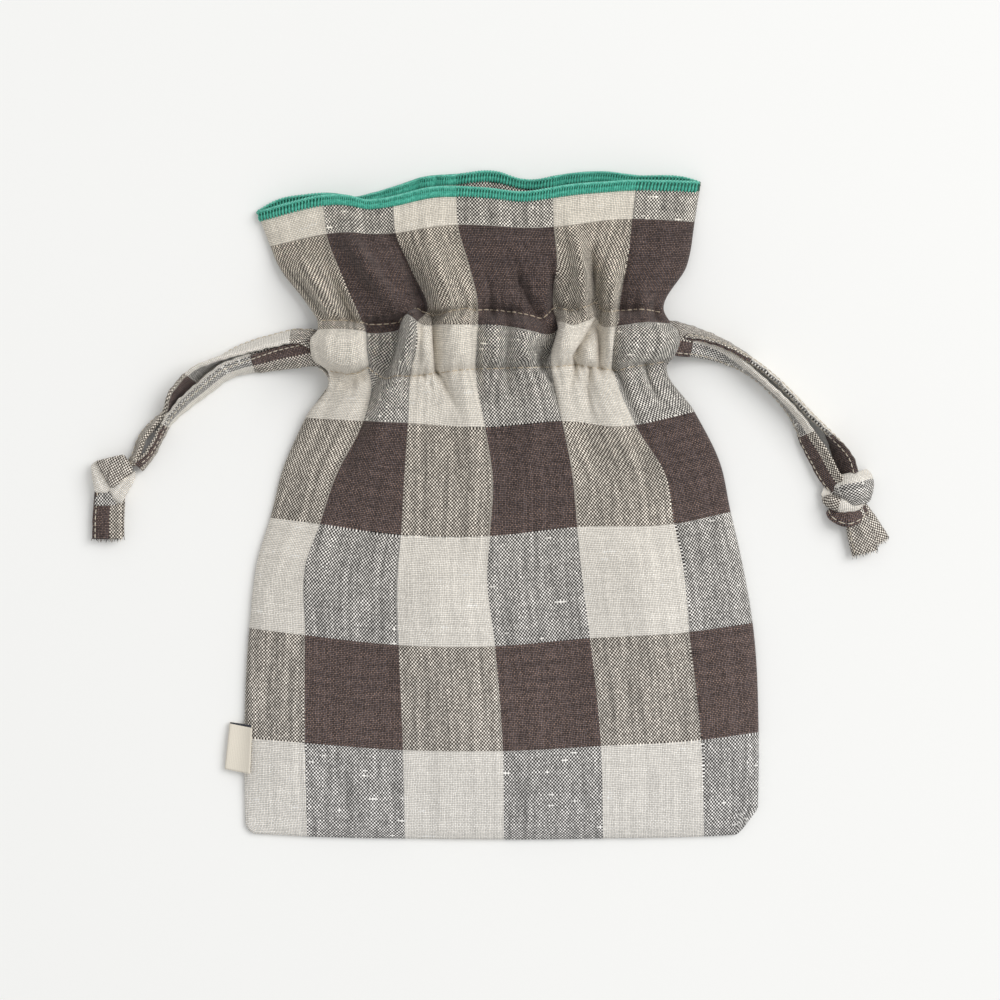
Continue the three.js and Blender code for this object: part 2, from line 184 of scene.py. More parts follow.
# Each thread's colour at the bottom of the pouch and at the mouth. The change between them is
# painted light: paler towards the bottom as painted sheen, darker towards the mouth as painted
# shade.
light_warp = paint(230, 224, 214), paint(224, 214, 197)
dark_warp = paint(117, 106, 108), paint(93, 84, 86)
light_weft = paint(232, 230, 226), paint(226, 220, 208)
dark_weft = paint(146, 122, 110), paint(117, 97, 87)
PAINTED_LIGHT_HEIGHT = 263.0
DRIFT_SCALE = 0.22
DRIFT = 0.6
SLUB_LENGTH = 0.09
SLUBS_APART = 7.31
THREAD_SPREAD = 0.4
SLUB_SPREAD = 0.55
THICK_SLUB = 0.775
STREAK_WIDTH = 0.5
STREAK_LENGTH = 0.03
STREAK = 0.25
MIXED_STREAK = 0.9
# How much lighter each thread is painted at its crest and how much darker towards its edges: painted
# highlight, and painted shade in the gaps between threads.
TOP_LEVEL = 1.1
DARK_GAP_SHADE = 0.9
LIGHT_GAP_SHADE = 0.6
MIXED_GAP_SHADE = -0.12
LIGHT_EVEN = 0.6
LIGHT_RAISE = 0.22
DARK_FLECK = 0.45
LIGHT_FLECK = 0.2
MIXED_SHADE = 0.75
MIXED_LIFT = -0.08
MIXED_FLECK = 0.36
WARP_SEED = 3.0
WEFT_SEED = 71.0


def linen(name, fineness):
    """Plain weave: warp and weft threads of two colours each, uneven as hand-spun flax.

    The piece's cloth attribute gives the place on the flat cloth, across and up, and its threads
    attribute the place as threads are counted, which leaves out cloth that is lost in gathers.
    """
    material, shader, start = new_material(name, roughness=0.9, sheen=0.12)
    cloth = start.node("ShaderNodeAttribute", {"attribute_name": "cloth"}, {}, "Vector")
    counted = start.node("ShaderNodeAttribute", {"attribute_name": "threads"}, {}, "Vector")
    u, v = cloth.part(0), cloth.part(1)
    # Painted light: each thread's colour goes from paler at the bottom, as painted sheen, to darker
    # at the mouth, as painted shade.
    painted_light_share = v / PAINTED_LIGHT_HEIGHT
    drift = start.noise(counted, DRIFT_SCALE, 1.0, output="Color")

    def thread(across, place, along, pitch, first_dark, stripe, light, dark, seed):
        count = place / (pitch * fineness)
        number = count.floor()
        is_light = ((across - first_dark) / stripe).floor().math("FLOORED_MODULO", 2.0)
        chance = start.node(
            "ShaderNodeTexWhiteNoise", {"noise_dimensions": "1D"}, {"W": number + seed}, "Value"
        )
        slub_place = (number * SLUBS_APART + seed).pair(along * SLUB_LENGTH)
        slub = start.noise(slub_place, 1.0, 1.0)
        uneven = (chance - 0.5) * THREAD_SPREAD + (slub - 0.5) * SLUB_SPREAD
        level = 1.0 + uneven * (1.0 - is_light * LIGHT_EVEN)
        colour = is_light.tint(painted_light_share.tint(*dark), painted_light_share.tint(*light)).dims(level)
        from_middle = (count - number - 0.5) * 2.0
        thick = is_light * slub.math("GREATER_THAN", THICK_SLUB)
        return number, is_light, colour, from_middle * from_middle, thick

    warp_place = counted.part(0) + (drift.part(0) - 0.5) * DRIFT
    weft_place = counted.part(1) + (drift.part(1) - 0.5) * DRIFT
    warp_facts = (WARP_PITCH, FIRST_DARK_WARP, WARP_STRIPE, light_warp, dark_warp, WARP_SEED)
    weft_facts = (WEFT_PITCH, FIRST_DARK_WEFT, WEFT_STRIPE, light_weft, dark_weft, WEFT_SEED)
    warp, warp_light, warp_colour, warp_off, _ = thread(u, warp_place, v, *warp_facts)
    weft, weft_light, weft_colour, weft_off, thick = thread(v, weft_place, u, *weft_facts)
    crossing = start.node(
        "ShaderNodeTexWhiteNoise", {"noise_dimensions": "2D"}, {"Vector": warp.pair(weft)}, "Value"
    )
    on_top = (warp + weft).math("FLOORED_MODULO", 2.0) * (1.0 - thick)
    top_light = weft_light + (warp_light - weft_light) * on_top
    sunk = warp_off + weft_off
    mixed = (warp_light - weft_light).math("ABSOLUTE")
    # Painted highlight and shade: each thread is lighter at its crest and darker towards its edges
    # and ends, where it dips between the others.
    gap_shade = DARK_GAP_SHADE + top_light * (LIGHT_GAP_SHADE - DARK_GAP_SHADE + mixed * MIXED_GAP_SHADE)
    fleck = DARK_FLECK + top_light * (LIGHT_FLECK - DARK_FLECK + mixed * MIXED_FLECK)
    shade = 1.0 + mixed * (top_light * (MIXED_LIFT + MIXED_SHADE) - MIXED_SHADE)
    raised = TOP_LEVEL + top_light * LIGHT_RAISE - sunk * gap_shade
    level = (raised + (crossing - 0.5) * fleck) * shade
    streak_place = (counted.part(0) * STREAK_WIDTH).pair(v * STREAK_LENGTH)
    streak = start.noise(streak_place, 1.0, 2.0)
    streaked = 1.0 + (streak - 0.5) * (STREAK + mixed * MIXED_STREAK)
    colour = on_top.tint(weft_colour, warp_colour).dims(level * streaked)
    finish_material(start, shader, colour, 1.0 - sunk * 0.5, depth=0.25, strength=0.6)
    return material


DARKEST_GRAIN = 0.3
GRAIN_GAIN = 2.2


def thread_material(name, light, dark, length):
    """Sewing thread: two twisted plies, so short light and dark turns follow each other; the colour
    darkens where the bump is low, painted shade in the dips between turns.
    """
    material, shader, start = new_material(name, roughness=0.55, sheen=0.2)
    place = start.node("ShaderNodeTexCoord", {}, {}, "Object")
    grain = start.noise(place, 1 / (length * METRES), 2.0, "3D")
    level = (grain - DARKEST_GRAIN) * GRAIN_GAIN
    colour = level.math("MINIMUM", 1.0).math("MAXIMUM", 0.0).tint(dark, light)
    finish_material(start, shader, colour, grain, depth=0.12, strength=0.5)
    return material


TWIST = 0.5
tape_linen = linen("linen_tape", fineness=0.94)
cream_thread = thread_material("stitch_thread", paint(236, 228, 212), paint(196, 184, 164), TWIST)


def flow(knots, values, at):
    """A smooth line through values given at knots, read off at other places."""
    knots, values = np.asarray(knots, float), np.asarray(values, float)
    step = np.diff(knots)[:, None]
    slope = np.diff(values, axis=0) / step
    lean = np.concatenate([slope[:1], slope, slope[-1:]])
    wide = np.concatenate([step[:1], step, step[-1:]])
    tangent = (lean[:-1] * wide[1:] + lean[1:] * wide[:-1]) / (wide[:-1] + wide[1:])
    span = np.clip(np.searchsorted(knots, at, side="right") - 1, 0, len(step) - 1)
    t = ((at - knots[span]) / step[span, 0])[:, None]
    near, far = values[span], values[span + 1]
    pull = tangent[span] * step[span]
    push = tangent[span + 1] * step[span]
    cubic = 2 * (near - far) + pull + push
    square = 3 * (far - near) - 2 * pull - push
    return near + t * (pull + t * (square + t * cubic))


def unit(vectors):
    return vectors / np.linalg.norm(vectors, axis=-1, keepdims=True)


def run_along(points, axis=0):
    """How far each point is along its line, for points in lines along an axis."""
    steps = np.linalg.norm(np.diff(points, axis=axis), axis=-1)
    start = np.zeros_like(steps.take([0], axis))
    return np.concatenate([start, np.cumsum(steps, axis)], axis)


def loops_of_quads(rings, sides, start):
    """Faces between closed rings of points that follow each other."""
    ring, side = np.meshgrid(np.arange(rings - 1), np.arange(sides), indexing="ij")
    here = start + ring * sides + side
    beside = start + ring * sides + (side + 1) % sides
    return np.stack([here, beside, beside + sides, here + sides], -1).reshape(-1, 4).tolist()


def add_piece(name, points, faces, materials, cloth=None, finishes=None):
    mesh = bpy.data.meshes.new(name)
    mesh.from_pydata((np.asarray(points) * METRES).tolist(), [], faces)
    mesh.polygons.foreach_set("use_smooth", [True] * len(faces))
    if finishes is not None:
        mesh.polygons.foreach_set("material_index", finishes)
    if cloth is not None:
        places = np.zeros((len(points), 6), np.float32)
        places[:, [0, 1, 3, 4]] = cloth
        for layer_name, columns in (("cloth", places[:, :3]), ("threads", places[:, 3:])):
            layer = mesh.attributes.new(layer_name, "FLOAT_VECTOR", "POINT")
            layer.data.foreach_set("vector", columns.ravel())
    mesh.update()
    piece = bpy.data.objects.new(name, mesh)
    for material in materials:
        piece.data.materials.append(material)
    bpy.context.collection.objects.link(piece)
    return piece


THREAD_SIDES = 6
THREAD_TIP = 0.6
STEEP = 0.8


def threads(lines, radius):
    """Points and faces of many short threads, each a line of as many points."""
    sides = THREAD_SIDES
    lines = np.asarray(lines, float)
    count, steps = lines.shape[:2]
    along = unit(np.gradient(lines, axis=1))
    lean = np.where(np.abs(along[..., 2:]) > STEEP, [[[1.0, 0.3, 0.0]]], [[[0.0, 0.0, 1.0]]])
    across = unit(np.cross(along, lean))
    up = np.cross(across, along)
    turn = np.linspace(0, 2 * np.pi, sides, endpoint=False)
    taper = np.ones(steps) * radius
    taper[[0, -1]] *= THREAD_TIP
    ring = np.cos(turn)[:, None] * across[:, :, None] + np.sin(turn)[:, None] * up[:, :, None]
    points = lines[:, :, None] + taper[None, :, None, None] * ring
    faces = []
    for number in range(count):
        start = number * steps * sides
        faces += loops_of_quads(steps, sides, start)
        faces.append(list(range(start + sides - 1, start - 1, -1)))
        last = start + (steps - 1) * sides
        faces.append(list(range(last, last + sides)))
    return points.reshape(-1, 3), faces


def sew_on(points, faces, finishes, lines, radius, finish):
    """A piece's points with those of threads after them. Its faces and finishes grow in place."""
    more_points, more_faces = threads(lines, radius)
    faces.extend([index + len(points) for index in face] for face in more_faces)
    finishes.extend([finish] * len(more_faces))
    return np.concatenate([points, more_points])


TAPE_WIDTH = 10.5
TAPE_THICKNESS = 2.2
STITCH_INSET = 1.4
STITCH_PITCH = 2.3
STITCH_LENGTH = 1.7
STITCH_RADIUS = 0.19
STITCH_DENT = 0.22
DENT_WIDTH = 0.5
PARTED_DEPTH = 0.7
EDGE_SQUARENESS = 6
THINNEST_EDGE = 0.03
across_tape = np.array([-1, -0.97, -0.9, -0.72, -0.5, -0.25, 0, 0.25, 0.5, 0.72, 0.9, 0.98])


def tape_section(thickness, bow, lip):
    """A folded tape across, from its fold on the left to its open edge on the right and back.

    It is rounded at the fold, parted at the open edge and dented by its stitches.
    """
    half, deep = TAPE_WIDTH / 2, thickness / 2
    across = half * across_tape
    round_off = np.sqrt(np.clip(1 - np.abs(across_tape) ** EDGE_SQUARENESS, THINNEST_EDGE, 1))
    dent = STITCH_DENT * np.exp(-(((across - half + STITCH_INSET) / DENT_WIDTH) ** 2))
    top = np.stack([across, deep * (round_off - dent)], 1)
    parted = [[half - PARTED_DEPTH, 0.0]]
    under = top[::-1] * [1, -1]
    under[:2, 0] += lip
    section = np.concatenate([top, parted, under])
    section[:, 1] -= bow * (section[:, 0] / half) ** 2
    return section * [-1, 1]


stitch_rise = np.array([-0.3, -0.05, 0.01, -0.05, -0.3])
# The last points of the section, where the cloth of the top face has come round the fold.
FOLD_POINTS = 3
SLOW_WAVER = 0.9
FAST_WAVER = 1.7
WAVER_SHIFT = 2.1
FIRST_STITCH = 1.0
FRAY_RADIUS = 0.11
FRAY_SPREAD = 0.48
FRAY_ROOT = 0.5
FRAY_HEIGHT = 0.3
FRAY_LEAN = 0.35
FRAY_LIFT = 0.15
FRAY_MIDDLE = 0.6
fray_length = 0.9, 2.0
UPRIGHT = 1e-6


def tape_course(line, rolls, widths, step):
    """Stations along a tape, and its middle, its way along, across and out, and its width there."""
    line = np.asarray(line, float)
    run = run_along(line)
    widths = np.broadcast_to(np.asarray(widths, float), len(line))
    rolls = np.broadcast_to(np.asarray(rolls, float), len(line))
    stations = np.linspace(0, run[-1], int(run[-1] / step) + 2)
    smooth = flow(run, np.column_stack([line, rolls, widths]), stations)
    centre, roll, width = smooth[:, :3], np.radians(smooth[:, 3:4]), smooth[:, 4:]
    along = unit(np.gradient(centre, axis=0))
    level = np.cross([0.0, 0.0, 1.0], along)
    for station in range(1, len(level)):
        if level[station] @ level[station - 1] < 0:
            level[station] *= -1
        elif np.linalg.norm(level[station]) < UPRIGHT:
            level[station] = level[station - 1]
    level = unit(level)
    side = level * np.cos(roll) + np.cross(along, level) * np.sin(roll)
    return stations, centre, along, side, np.cross(along, side), width


def ribbon(name, line, rolls, widths, faces_of_cloth, bow=0.0, stitched=True,
           thickness=TAPE_THICKNESS, step=1.0, waver=0.3, seed=0, frayed=0, lip=0.0):
    """A tape along a line of points. A roll lifts its left edge, in degrees."""
    stations, centre, along, side, normal, width = tape_course(line, rolls, widths, step)
    length = stations[-1]
    slow = np.sin(stations * SLOW_WAVER + seed)
    fast = np.sin(stations * FAST_WAVER + WAVER_SHIFT * seed)
    ripple = waver * (slow + fast) / 2
    section = tape_section(thickness, bow, lip)
    share = width / TAPE_WIDTH
    edge = (section[:, 0] / TAPE_WIDTH * 2) ** 2
    out = section[:, 0] * share
    lift = section[:, 1] + ripple[:, None] * edge * np.sign(section[:, 0])
    points = centre[:, None] + side[:, None] * out[..., None] + normal[:, None] * lift[..., None]
    rings, sides = points.shape[:2]
    top_u, under_u, start_v, stretch = faces_of_cloth
    order = np.arange(sides)
    past_fold = order >= sides - FOLD_POINTS
    on_top = (order < sides // 2) | past_fold
    around = np.cumsum(np.linalg.norm(section - np.roll(section, 1, axis=0), axis=1))
    top = slice(len(across_tape))
    around -= around[-1] * past_fold + np.interp(0, -section[top, 0], around[top])
    place = np.where(on_top, top_u - around * share, under_u + out)
    weave = np.zeros((rings, sides, 4))
    weave[..., ::2] = place[..., None]
    weave[..., 1] = (start_v + stations / stretch)[:, None]
    weave[..., 3] = stations[:, None]
    points, weave = points.reshape(-1, 3), weave.reshape(-1, 4)
    faces = [face[::-1] for face in loops_of_quads(rings, sides, 0)]
    faces.append(list(range(sides)))
    faces.append(list(range(rings * sides - 1, (rings - 1) * sides - 1, -1)))
    finishes = [0] * len(faces)
    if stitched:
        starts = np.arange(FIRST_STITCH, length - STITCH_LENGTH, STITCH_PITCH)
        spots = starts[:, None] + np.linspace(0, STITCH_LENGTH, len(stitch_rise))
        frames = np.concatenate([centre, side, normal, width], 1)
        at = flow(stations, frames, spots.ravel()).reshape(*spots.shape, 10)
        stitch_line = at[..., :3] + at[..., 3:6] * (STITCH_INSET - at[..., 9:] / 2)
        for way in (1, -1):
            raised = at[..., 6:9] * way * (thickness / 2 + stitch_rise)[None, :, None]
            points = sew_on(points, faces, finishes, stitch_line + raised, STITCH_RADIUS, 1)
        weave = np.concatenate([weave, np.zeros((len(points) - len(weave), 4))])
    chance = np.random.default_rng(seed)
    for place in np.linspace(-FRAY_SPREAD, FRAY_SPREAD, frayed):
        root = centre[-1] + side[-1] * width[-1] * place - along[-1] * FRAY_ROOT
        root = root + normal[-1] * chance.uniform(-FRAY_HEIGHT, FRAY_HEIGHT) * thickness
        lean = side[-1] * chance.normal(0, FRAY_LEAN) + normal[-1] * chance.normal(0, FRAY_LIFT)
        reach = (along[-1] + lean) * chance.uniform(*fray_length)
        fray = [[root, root + reach * FRAY_MIDDLE, root + reach]]
        points = sew_on(points, faces, finishes, fray, FRAY_RADIUS, 0)
        on_cloth = (top_u + place * TAPE_WIDTH, start_v + length / stretch) * 2
        weave = np.concatenate([weave, np.tile(on_cloth, (len(points) - len(weave), 1))])
    piece = add_piece(name, points, faces, [tape_linen, cream_thread], weave, finishes)
    return piece, centre


def laid_tape(name, lie, cut, **facts):
    """A tape as it lies: pixel across, pixel down, height, roll and width at each point."""
    lie = np.array(lie, float)
    return ribbon(name, seen(lie[:, :2], lie[:, 2]), lie[:, 3], lie[:, 4], cut, **facts)


# Each strand as it lies: pixel across, pixel down, height of its middle, roll in degrees, width.
strand_lies = {
    "left_front": [
        (334, 353.7, 7.5, 0, 8.6), (326, 353.6, 8.0, -2, 9.4), (318, 353.2, 8.8, -4, 10.3),
        (310, 353, 8.4, -8, 10.4), (298, 355, 7.0, -14, 10.2),
        (280, 358, 5.4, -25, 10.0), (262, 362, 4.6, -38, 9.6), (247, 365, 4.4, -50, 9.2),
        (226, 372, 4.5, -56, 9.0), (205, 388, 4.6, -60, 9.0), (184, 405, 4.4, -66, 8.4),
        (168, 422, 3.8, -76, 7.2), (158, 440, 3.6, -76, 6.4), (149, 456, 3.8, -70, 6.4),
        (138, 467, 4.4, -60, 7.0),
    ],
    "left_back": [
        (334, 353.7, 3.3, 0, 8.6), (327, 350, 3.8, 8, 9.0), (319, 344, 5.2, 22, 9.5),
        (311, 338.5, 6.6, 42, 10.0), (303, 336.5, 6.6, 52, 10.1), (296, 336, 6.2, 57, 10.2),
        (276, 340, 5.5, 62, 10.2), (256, 345, 5.2, 65, 10.2), (238, 351, 5.1, 72, 10.2),
        (216, 361, 5.2, 92, 10.2), (197, 373, 5.2, 114, 10.2), (184, 386, 5.0, 122, 10.0),
        (173, 399, 4.8, 112, 9.4), (166, 412, 4.2, 88, 8.2), (155, 423, 3.6, 68, 7.0),
        (143, 437, 3.4, 62, 6.4), (136, 455, 3.6, 62, 6.4), (131, 465, 4.2, 62, 6.8),
    ],
    "right_front": [
        (644, 330, 7.5, 0, 8.6), (658, 333, 8.2, 0, 9.0), (668, 338, 9.2, 2, 9.8),
        (678, 343.5, 9.4, 6, 9.8), (686, 345, 8.4, 9, 9.4), (696, 346.5, 6.9, 15, 8.8),
        (706, 349, 5.6, 20, 8.4), (717, 352.5, 5.0, 32, 8.0), (727, 357, 4.8, 50, 8.2),
        (738, 363, 4.8, 68, 8.5), (754.5, 374.5, 4.8, 84, 8.8), (768, 386, 4.8, 86, 8.8),
        (782, 399.5, 4.8, 82, 8.8), (794.5, 414.5, 4.8, 72, 8.8), (802.5, 427, 4.8, 60, 9.0),
        (809, 440, 4.8, 48, 9.4), (818, 455, 4.8, 40, 9.8), (830, 477, 5.2, 38, 9.5),
        (838, 488, 5.5, 38, 9.0),
    ],
    "right_back": [
        (644, 330, 3.3, 0, 8.6), (660, 331, 4.2, -12, 9.0), (672, 331, 5.6, -34, 9.6),
        (683, 331.5, 6.4, -50, 10.0), (700, 335, 6.0, -62, 10.0),
        (722, 343, 5.7, -72, 10.0), (742, 354, 5.5, -78, 10.0), (757, 364, 5.4, -82, 10.0),
        (774, 377.5, 5.4, -82, 10.0), (795, 398, 5.4, -80, 10.0), (811, 415, 5.4, -80, 10.0),
        (825, 429, 5.4, -84, 10.0), (836, 445, 5.0, -108, 10.2), (844, 460, 4.8, -128, 10.4),
        (850, 475, 5.0, -125, 10.0),
    ],
}
# Where on the cloth each strand was cut: across its top face, its under face, and lengthwise,
# and how much it has stretched since.
strand_cuts = {
    "left_front": (62.4, 82.0, 44.8, 1.0),
    "left_back": (76.0, 45.0, 58.5, 1.0),
    "right_front": (61.0, 100.0, 63.0, 1.38),
    "right_back": (76.0, 48.0, 33.6, 1.0),
}
# How far the under face stands out past the top one at the open edge, where it does.
strand_lips = {"left_front": 1.0}
# The side of each drawstring: -1 for the left, 1 for the right.
hands = {"left": -1, "right": 1}


def dress(piece, body, node):
    """Let a piece ride on a body and stand for its CAD node."""
    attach(piece, body)
    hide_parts(node)
    return piece


strand_lines = {}
strands = {}
for number, (strand, lie) in enumerate(strand_lies.items()):
    hand = strand.split("_")[0]
    piece, centre = laid_tape(
        f"{strand}_strand_tape", lie, strand_cuts[strand], seed=number,
        lip=strand_lips.get(strand, 0.0),
    )
    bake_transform(piece)
    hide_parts(f"{strand}_strand")
    strands[strand] = piece
    strand_lines[strand] = centre


def joined(pieces):
    """One mesh from several pieces that are sewn or tied into one."""
    with bpy.context.temp_override(active_object=pieces[0], selected_editable_objects=pieces):
        bpy.ops.object.join()
    return pieces[0]


PAD_DOME = 0.6
PAD_SIDES = 72
PAD_ROUNDING = 3


def pad(name, outline, low, high, turn, cut):
    """A fold of tape in a knot: a cushion over an outline of pixels, with the cloth's turn."""
    corners = np.array(outline, float)
    closed = np.concatenate([corners, corners[:1]])
    run = run_along(closed)
    spots = np.linspace(0, run[-1], PAD_SIDES + 1)[:-1]
    around = np.stack([np.interp(spots, run, closed[:, axis]) for axis in (0, 1)], 1)
    for _ in range(PAD_ROUNDING):
        around = (np.roll(around, 1, axis=0) + 2 * around + np.roll(around, -1, axis=0)) / 4
    middle = around.mean(0)
    spin = np.cross(around - middle, np.roll(around, -1, axis=0) - middle).sum()
    if spin > 0:
        around = around[::-1]
    rise = high - low
    profile = [
        (0.9, low), (0.98, low + 0.2 * rise), (1.0, low + 0.5 * rise), (0.99, low + 0.8 * rise),
        (0.94, low + 0.95 * rise), (0.8, high + 0.4 * PAD_DOME), (0.5, high + 0.8 * PAD_DOME),
        (0.2, high + PAD_DOME),
    ]
    rings = []
    for share, height in profile:
        rings.append(seen(middle + (around - middle) * share, np.full(PAD_SIDES, height)))
    points = np.concatenate(rings)
    faces = loops_of_quads(len(rings), PAD_SIDES, 0)
    faces.append(list(range(PAD_SIDES - 1, -1, -1)))
    faces.append(list(range(len(points) - PAD_SIDES, len(points))))
    angle = np.radians(turn)
    flat = points[:, :2] - seen(middle, np.array(high))[:2]
    across = flat[:, 0] * np.cos(angle) + flat[:, 1] * np.sin(angle)
    along = flat[:, 1] * np.cos(angle) - flat[:, 0] * np.sin(angle)
    weave = np.stack([cut[0] + across, cut[1] + along] * 2, 1)
    return add_piece(name, points, faces, [tape_linen, cream_thread], weave)


def knot_band(name, lie, cut, bow, stitched=False):
    """A turn of tape over a knot: pixel across, pixel down, height and width at each point."""
    level = np.insert(np.array(lie, float), 3, 0, axis=1)
    facts = dict(bow=bow, stitched=stitched, thickness=2.4, step=0.7, waver=0.1)
    return laid_tape(name, level, cut, **facts)[0]


left_band = [(95, 461), (124, 454), (134, 470), (131, 474), (112, 489), (105, 479)]
left_fold = [(91, 465), (97, 460), (107, 476), (113, 489), (107, 494), (95, 493), (92, 478)]
right_fold = [(136, 470), (135, 480), (121, 505), (113, 499), (108, 489), (122, 478)]
left_point = [(106, 486), (114, 493), (119, 506), (94, 506), (95, 497)]
left_knot = joined([
    pad("left_knot_tied", left_band, 3.0, 7.6, -15, (82, 56)),
    pad("left_knot_fold_a", left_fold, 0.6, 5.6, 25, (82, 98)),
    pad("left_knot_fold_b", right_fold, 0.6, 6.2, -38, (82, 98)),
    pad("left_knot_fold_c", left_point, 2.2, 4.9, 0, (43, 98)),
])
right_over = [
    (837, 494, 1.2, 11.4), (838, 493, 4.6, 12.0), (843, 491, 7.6, 12.6), (854, 489, 9.4, 13.0),
    (864, 487, 7.8, 12.8), (870, 485, 4.8, 12.2), (871, 485, 1.4, 11.6),
]
right_under = [
    (828, 496, 2.0, 5.6), (831, 500, 5.0, 6.0), (840, 504, 6.8, 6.4), (851, 505, 6.6, 6.0),
    (861, 502, 4.0, 5.4),
]
right_dark = [
    (834, 509, 1.4, 7.0), (837, 513, 4.4, 7.6), (847, 517, 6.0, 8.0), (857, 514, 4.8, 7.4),
    (864, 508, 2.0, 6.6),
]
right_knot = joined([
    knot_band("right_knot_tied", right_over, (60.0, 60.0, 88.0, 1.0), bow=2.2),
    knot_band("right_knot_fold_a", right_under, (80.0, 80.0, 70.0, 1.0), bow=1.0),
    knot_band("right_knot_fold_b", right_dark, (45.0, 45.0, 50.0, 1.0), bow=0.8, stitched=True),
])
dress(left_knot, "left_tie", "left_knot")
dress(right_knot, "right_tie", "right_knot")

# The cut ends: pixel across, pixel down, height, roll, width.
tail_lies = {
    "left_front": [(108, 484, 4.2, 0, 10.0), (108, 500, 3.9, 3, 11.2), (107, 520, 3.5, 5, 11.6),
                   (107, 539, 3.4, 3, 11.8)],
    "left_back": [(112, 486, 1.4, 0, 10.0), (111, 505, 1.3, 0, 10.8), (110, 522, 1.3, 0, 11.0),
                  (110, 537, 1.3, 0, 11.2)],
    "right_front": [(852, 510, 4.2, 0, 8.0), (857, 523, 3.9, 6, 9.2), (861, 538, 3.7, 10, 10.2),
                    (865, 553, 3.5, 8, 10.4)],
    "right_back": [(857, 508, 1.9, 0, 8.0), (864, 520, 2.0, -8, 9.4), (871, 532, 1.9, -10, 10.2),
                   (878, 544, 1.6, -8, 10.4)],
}
tail_cuts = {
    "left_front": (61.2, 61.2, 120.0, 1.0),
    "left_back": (84.0, 84.0, 120.0, 1.0),
    "right_front": (84.0, 84.0, 38.0, 1.0),
    "right_back": (84.0, 84.0, 38.0, 1.0),
}
FRAYED_ENDS = 26
FIRST_TAIL_SEED = 5
tails = {}
for number, (tail, lie) in enumerate(tail_lies.items()):
    hand = tail.split("_")[0]
    piece, _ = laid_tape(
        f"{tail}_tail_tape", lie, tail_cuts[tail], seed=FIRST_TAIL_SEED + number,
        frayed=FRAYED_ENDS, thickness=1.9,
    )
    tails[tail] = dress(piece, f"{hand}_tie", f"{tail}_tail")

for strand, piece in strands.items():
    hand, side = strand.split("_")
    knot = left_knot if hand == "left" else right_knot
    ends = [tails[strand], knot] if side == "front" else [tails[strand]]
    line = strand_lines[strand] * METRES

# The part of each drawstring inside the casing: a run behind the front cloth, a turn round
# the end of the far slit, and a run over the back cloth, bunched narrower by the channel.
RUN_WIDTH = 8.6
run_sinks = {"front": 5.8, "back": 0.6}
run_ends = {"left": -66.5, "right": 56.0}
TURN_INSET = 0.8
TURN_ANGLE = 86


def node_box(node):
    """The low and the high corner of a CAD node, in millimetres."""
    return [np.array(corner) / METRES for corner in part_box(node)]


for hand, way in hands.items():
    for side, sink in run_sinks.items():
        low, high = node_box(f"{hand}_{side}_run")
        _, middle_y, middle_z = (low + high) / 2
        far_end = low[0] if way > 0 else high[0]
        places = np.linspace(far_end, run_ends[hand], 9)
        run, _ = ribbon(
            f"{hand}_{side}_run_tape", [(x, middle_y, middle_z - sink) for x in places], 0,
            RUN_WIDTH, strand_cuts[f"{hand}_{side}"], thickness=1.2, waver=0.05,
        )
        dress(run, f"{hand}_drawstring", f"{hand}_{side}_run")
    low, high = node_box(f"{hand}_drawstring_turn")
    high[2] -= run_sinks["front"] - run_sinks["back"]
    inner, outer = (low[0], high[0] - TURN_INSET) if way < 0 else (high[0], low[0] + TURN_INSET)
    _, middle_y, middle_z = (low + high) / 2
    tall = (high[2] - low[2]) / 2 - TURN_INSET
    bend = np.radians(np.linspace(TURN_ANGLE, -TURN_ANGLE, 15))
    bend_x, bend_z = inner + (outer - inner) * np.cos(bend), middle_z + tall * np.sin(bend)
    turn, _ = ribbon(
        f"{hand}_turn_tape", np.stack([bend_x, np.full(len(bend), middle_y), bend_z], 1), 0,
        RUN_WIDTH, strand_cuts[f"{hand}_front"], thickness=1.6, waver=0.0, stitched=False,
    )
    dress(turn, "pouch", f"{hand}_drawstring_turn")

# Front cloth. One piece of the checked linen from the bottom seam to the mouth, with the casing's
# two rows sewn across it. The drawstrings have bunched it to two thirds of its width at the
# casing, so it lies in puffs and pinched folds there and fans out again towards the mouth.
CLOTH_THICKNESS = 0.55
FRONT_GRID = 0.8
FINE_PLACES = 900
LOWER_ROW = 184.5
UPPER_ROW = 209.5
FRONT_TOP = 263.0
SEAM_TO_SEAM = 200.4
stripe_edges = [0, 23.8, 62.4, 101.0, 139.6, 178.2, SEAM_TO_SEAM]
weft_edges = [0, 35.0, 77.5, 120.0, 162.5, 205.0, 247.5, 270.0]
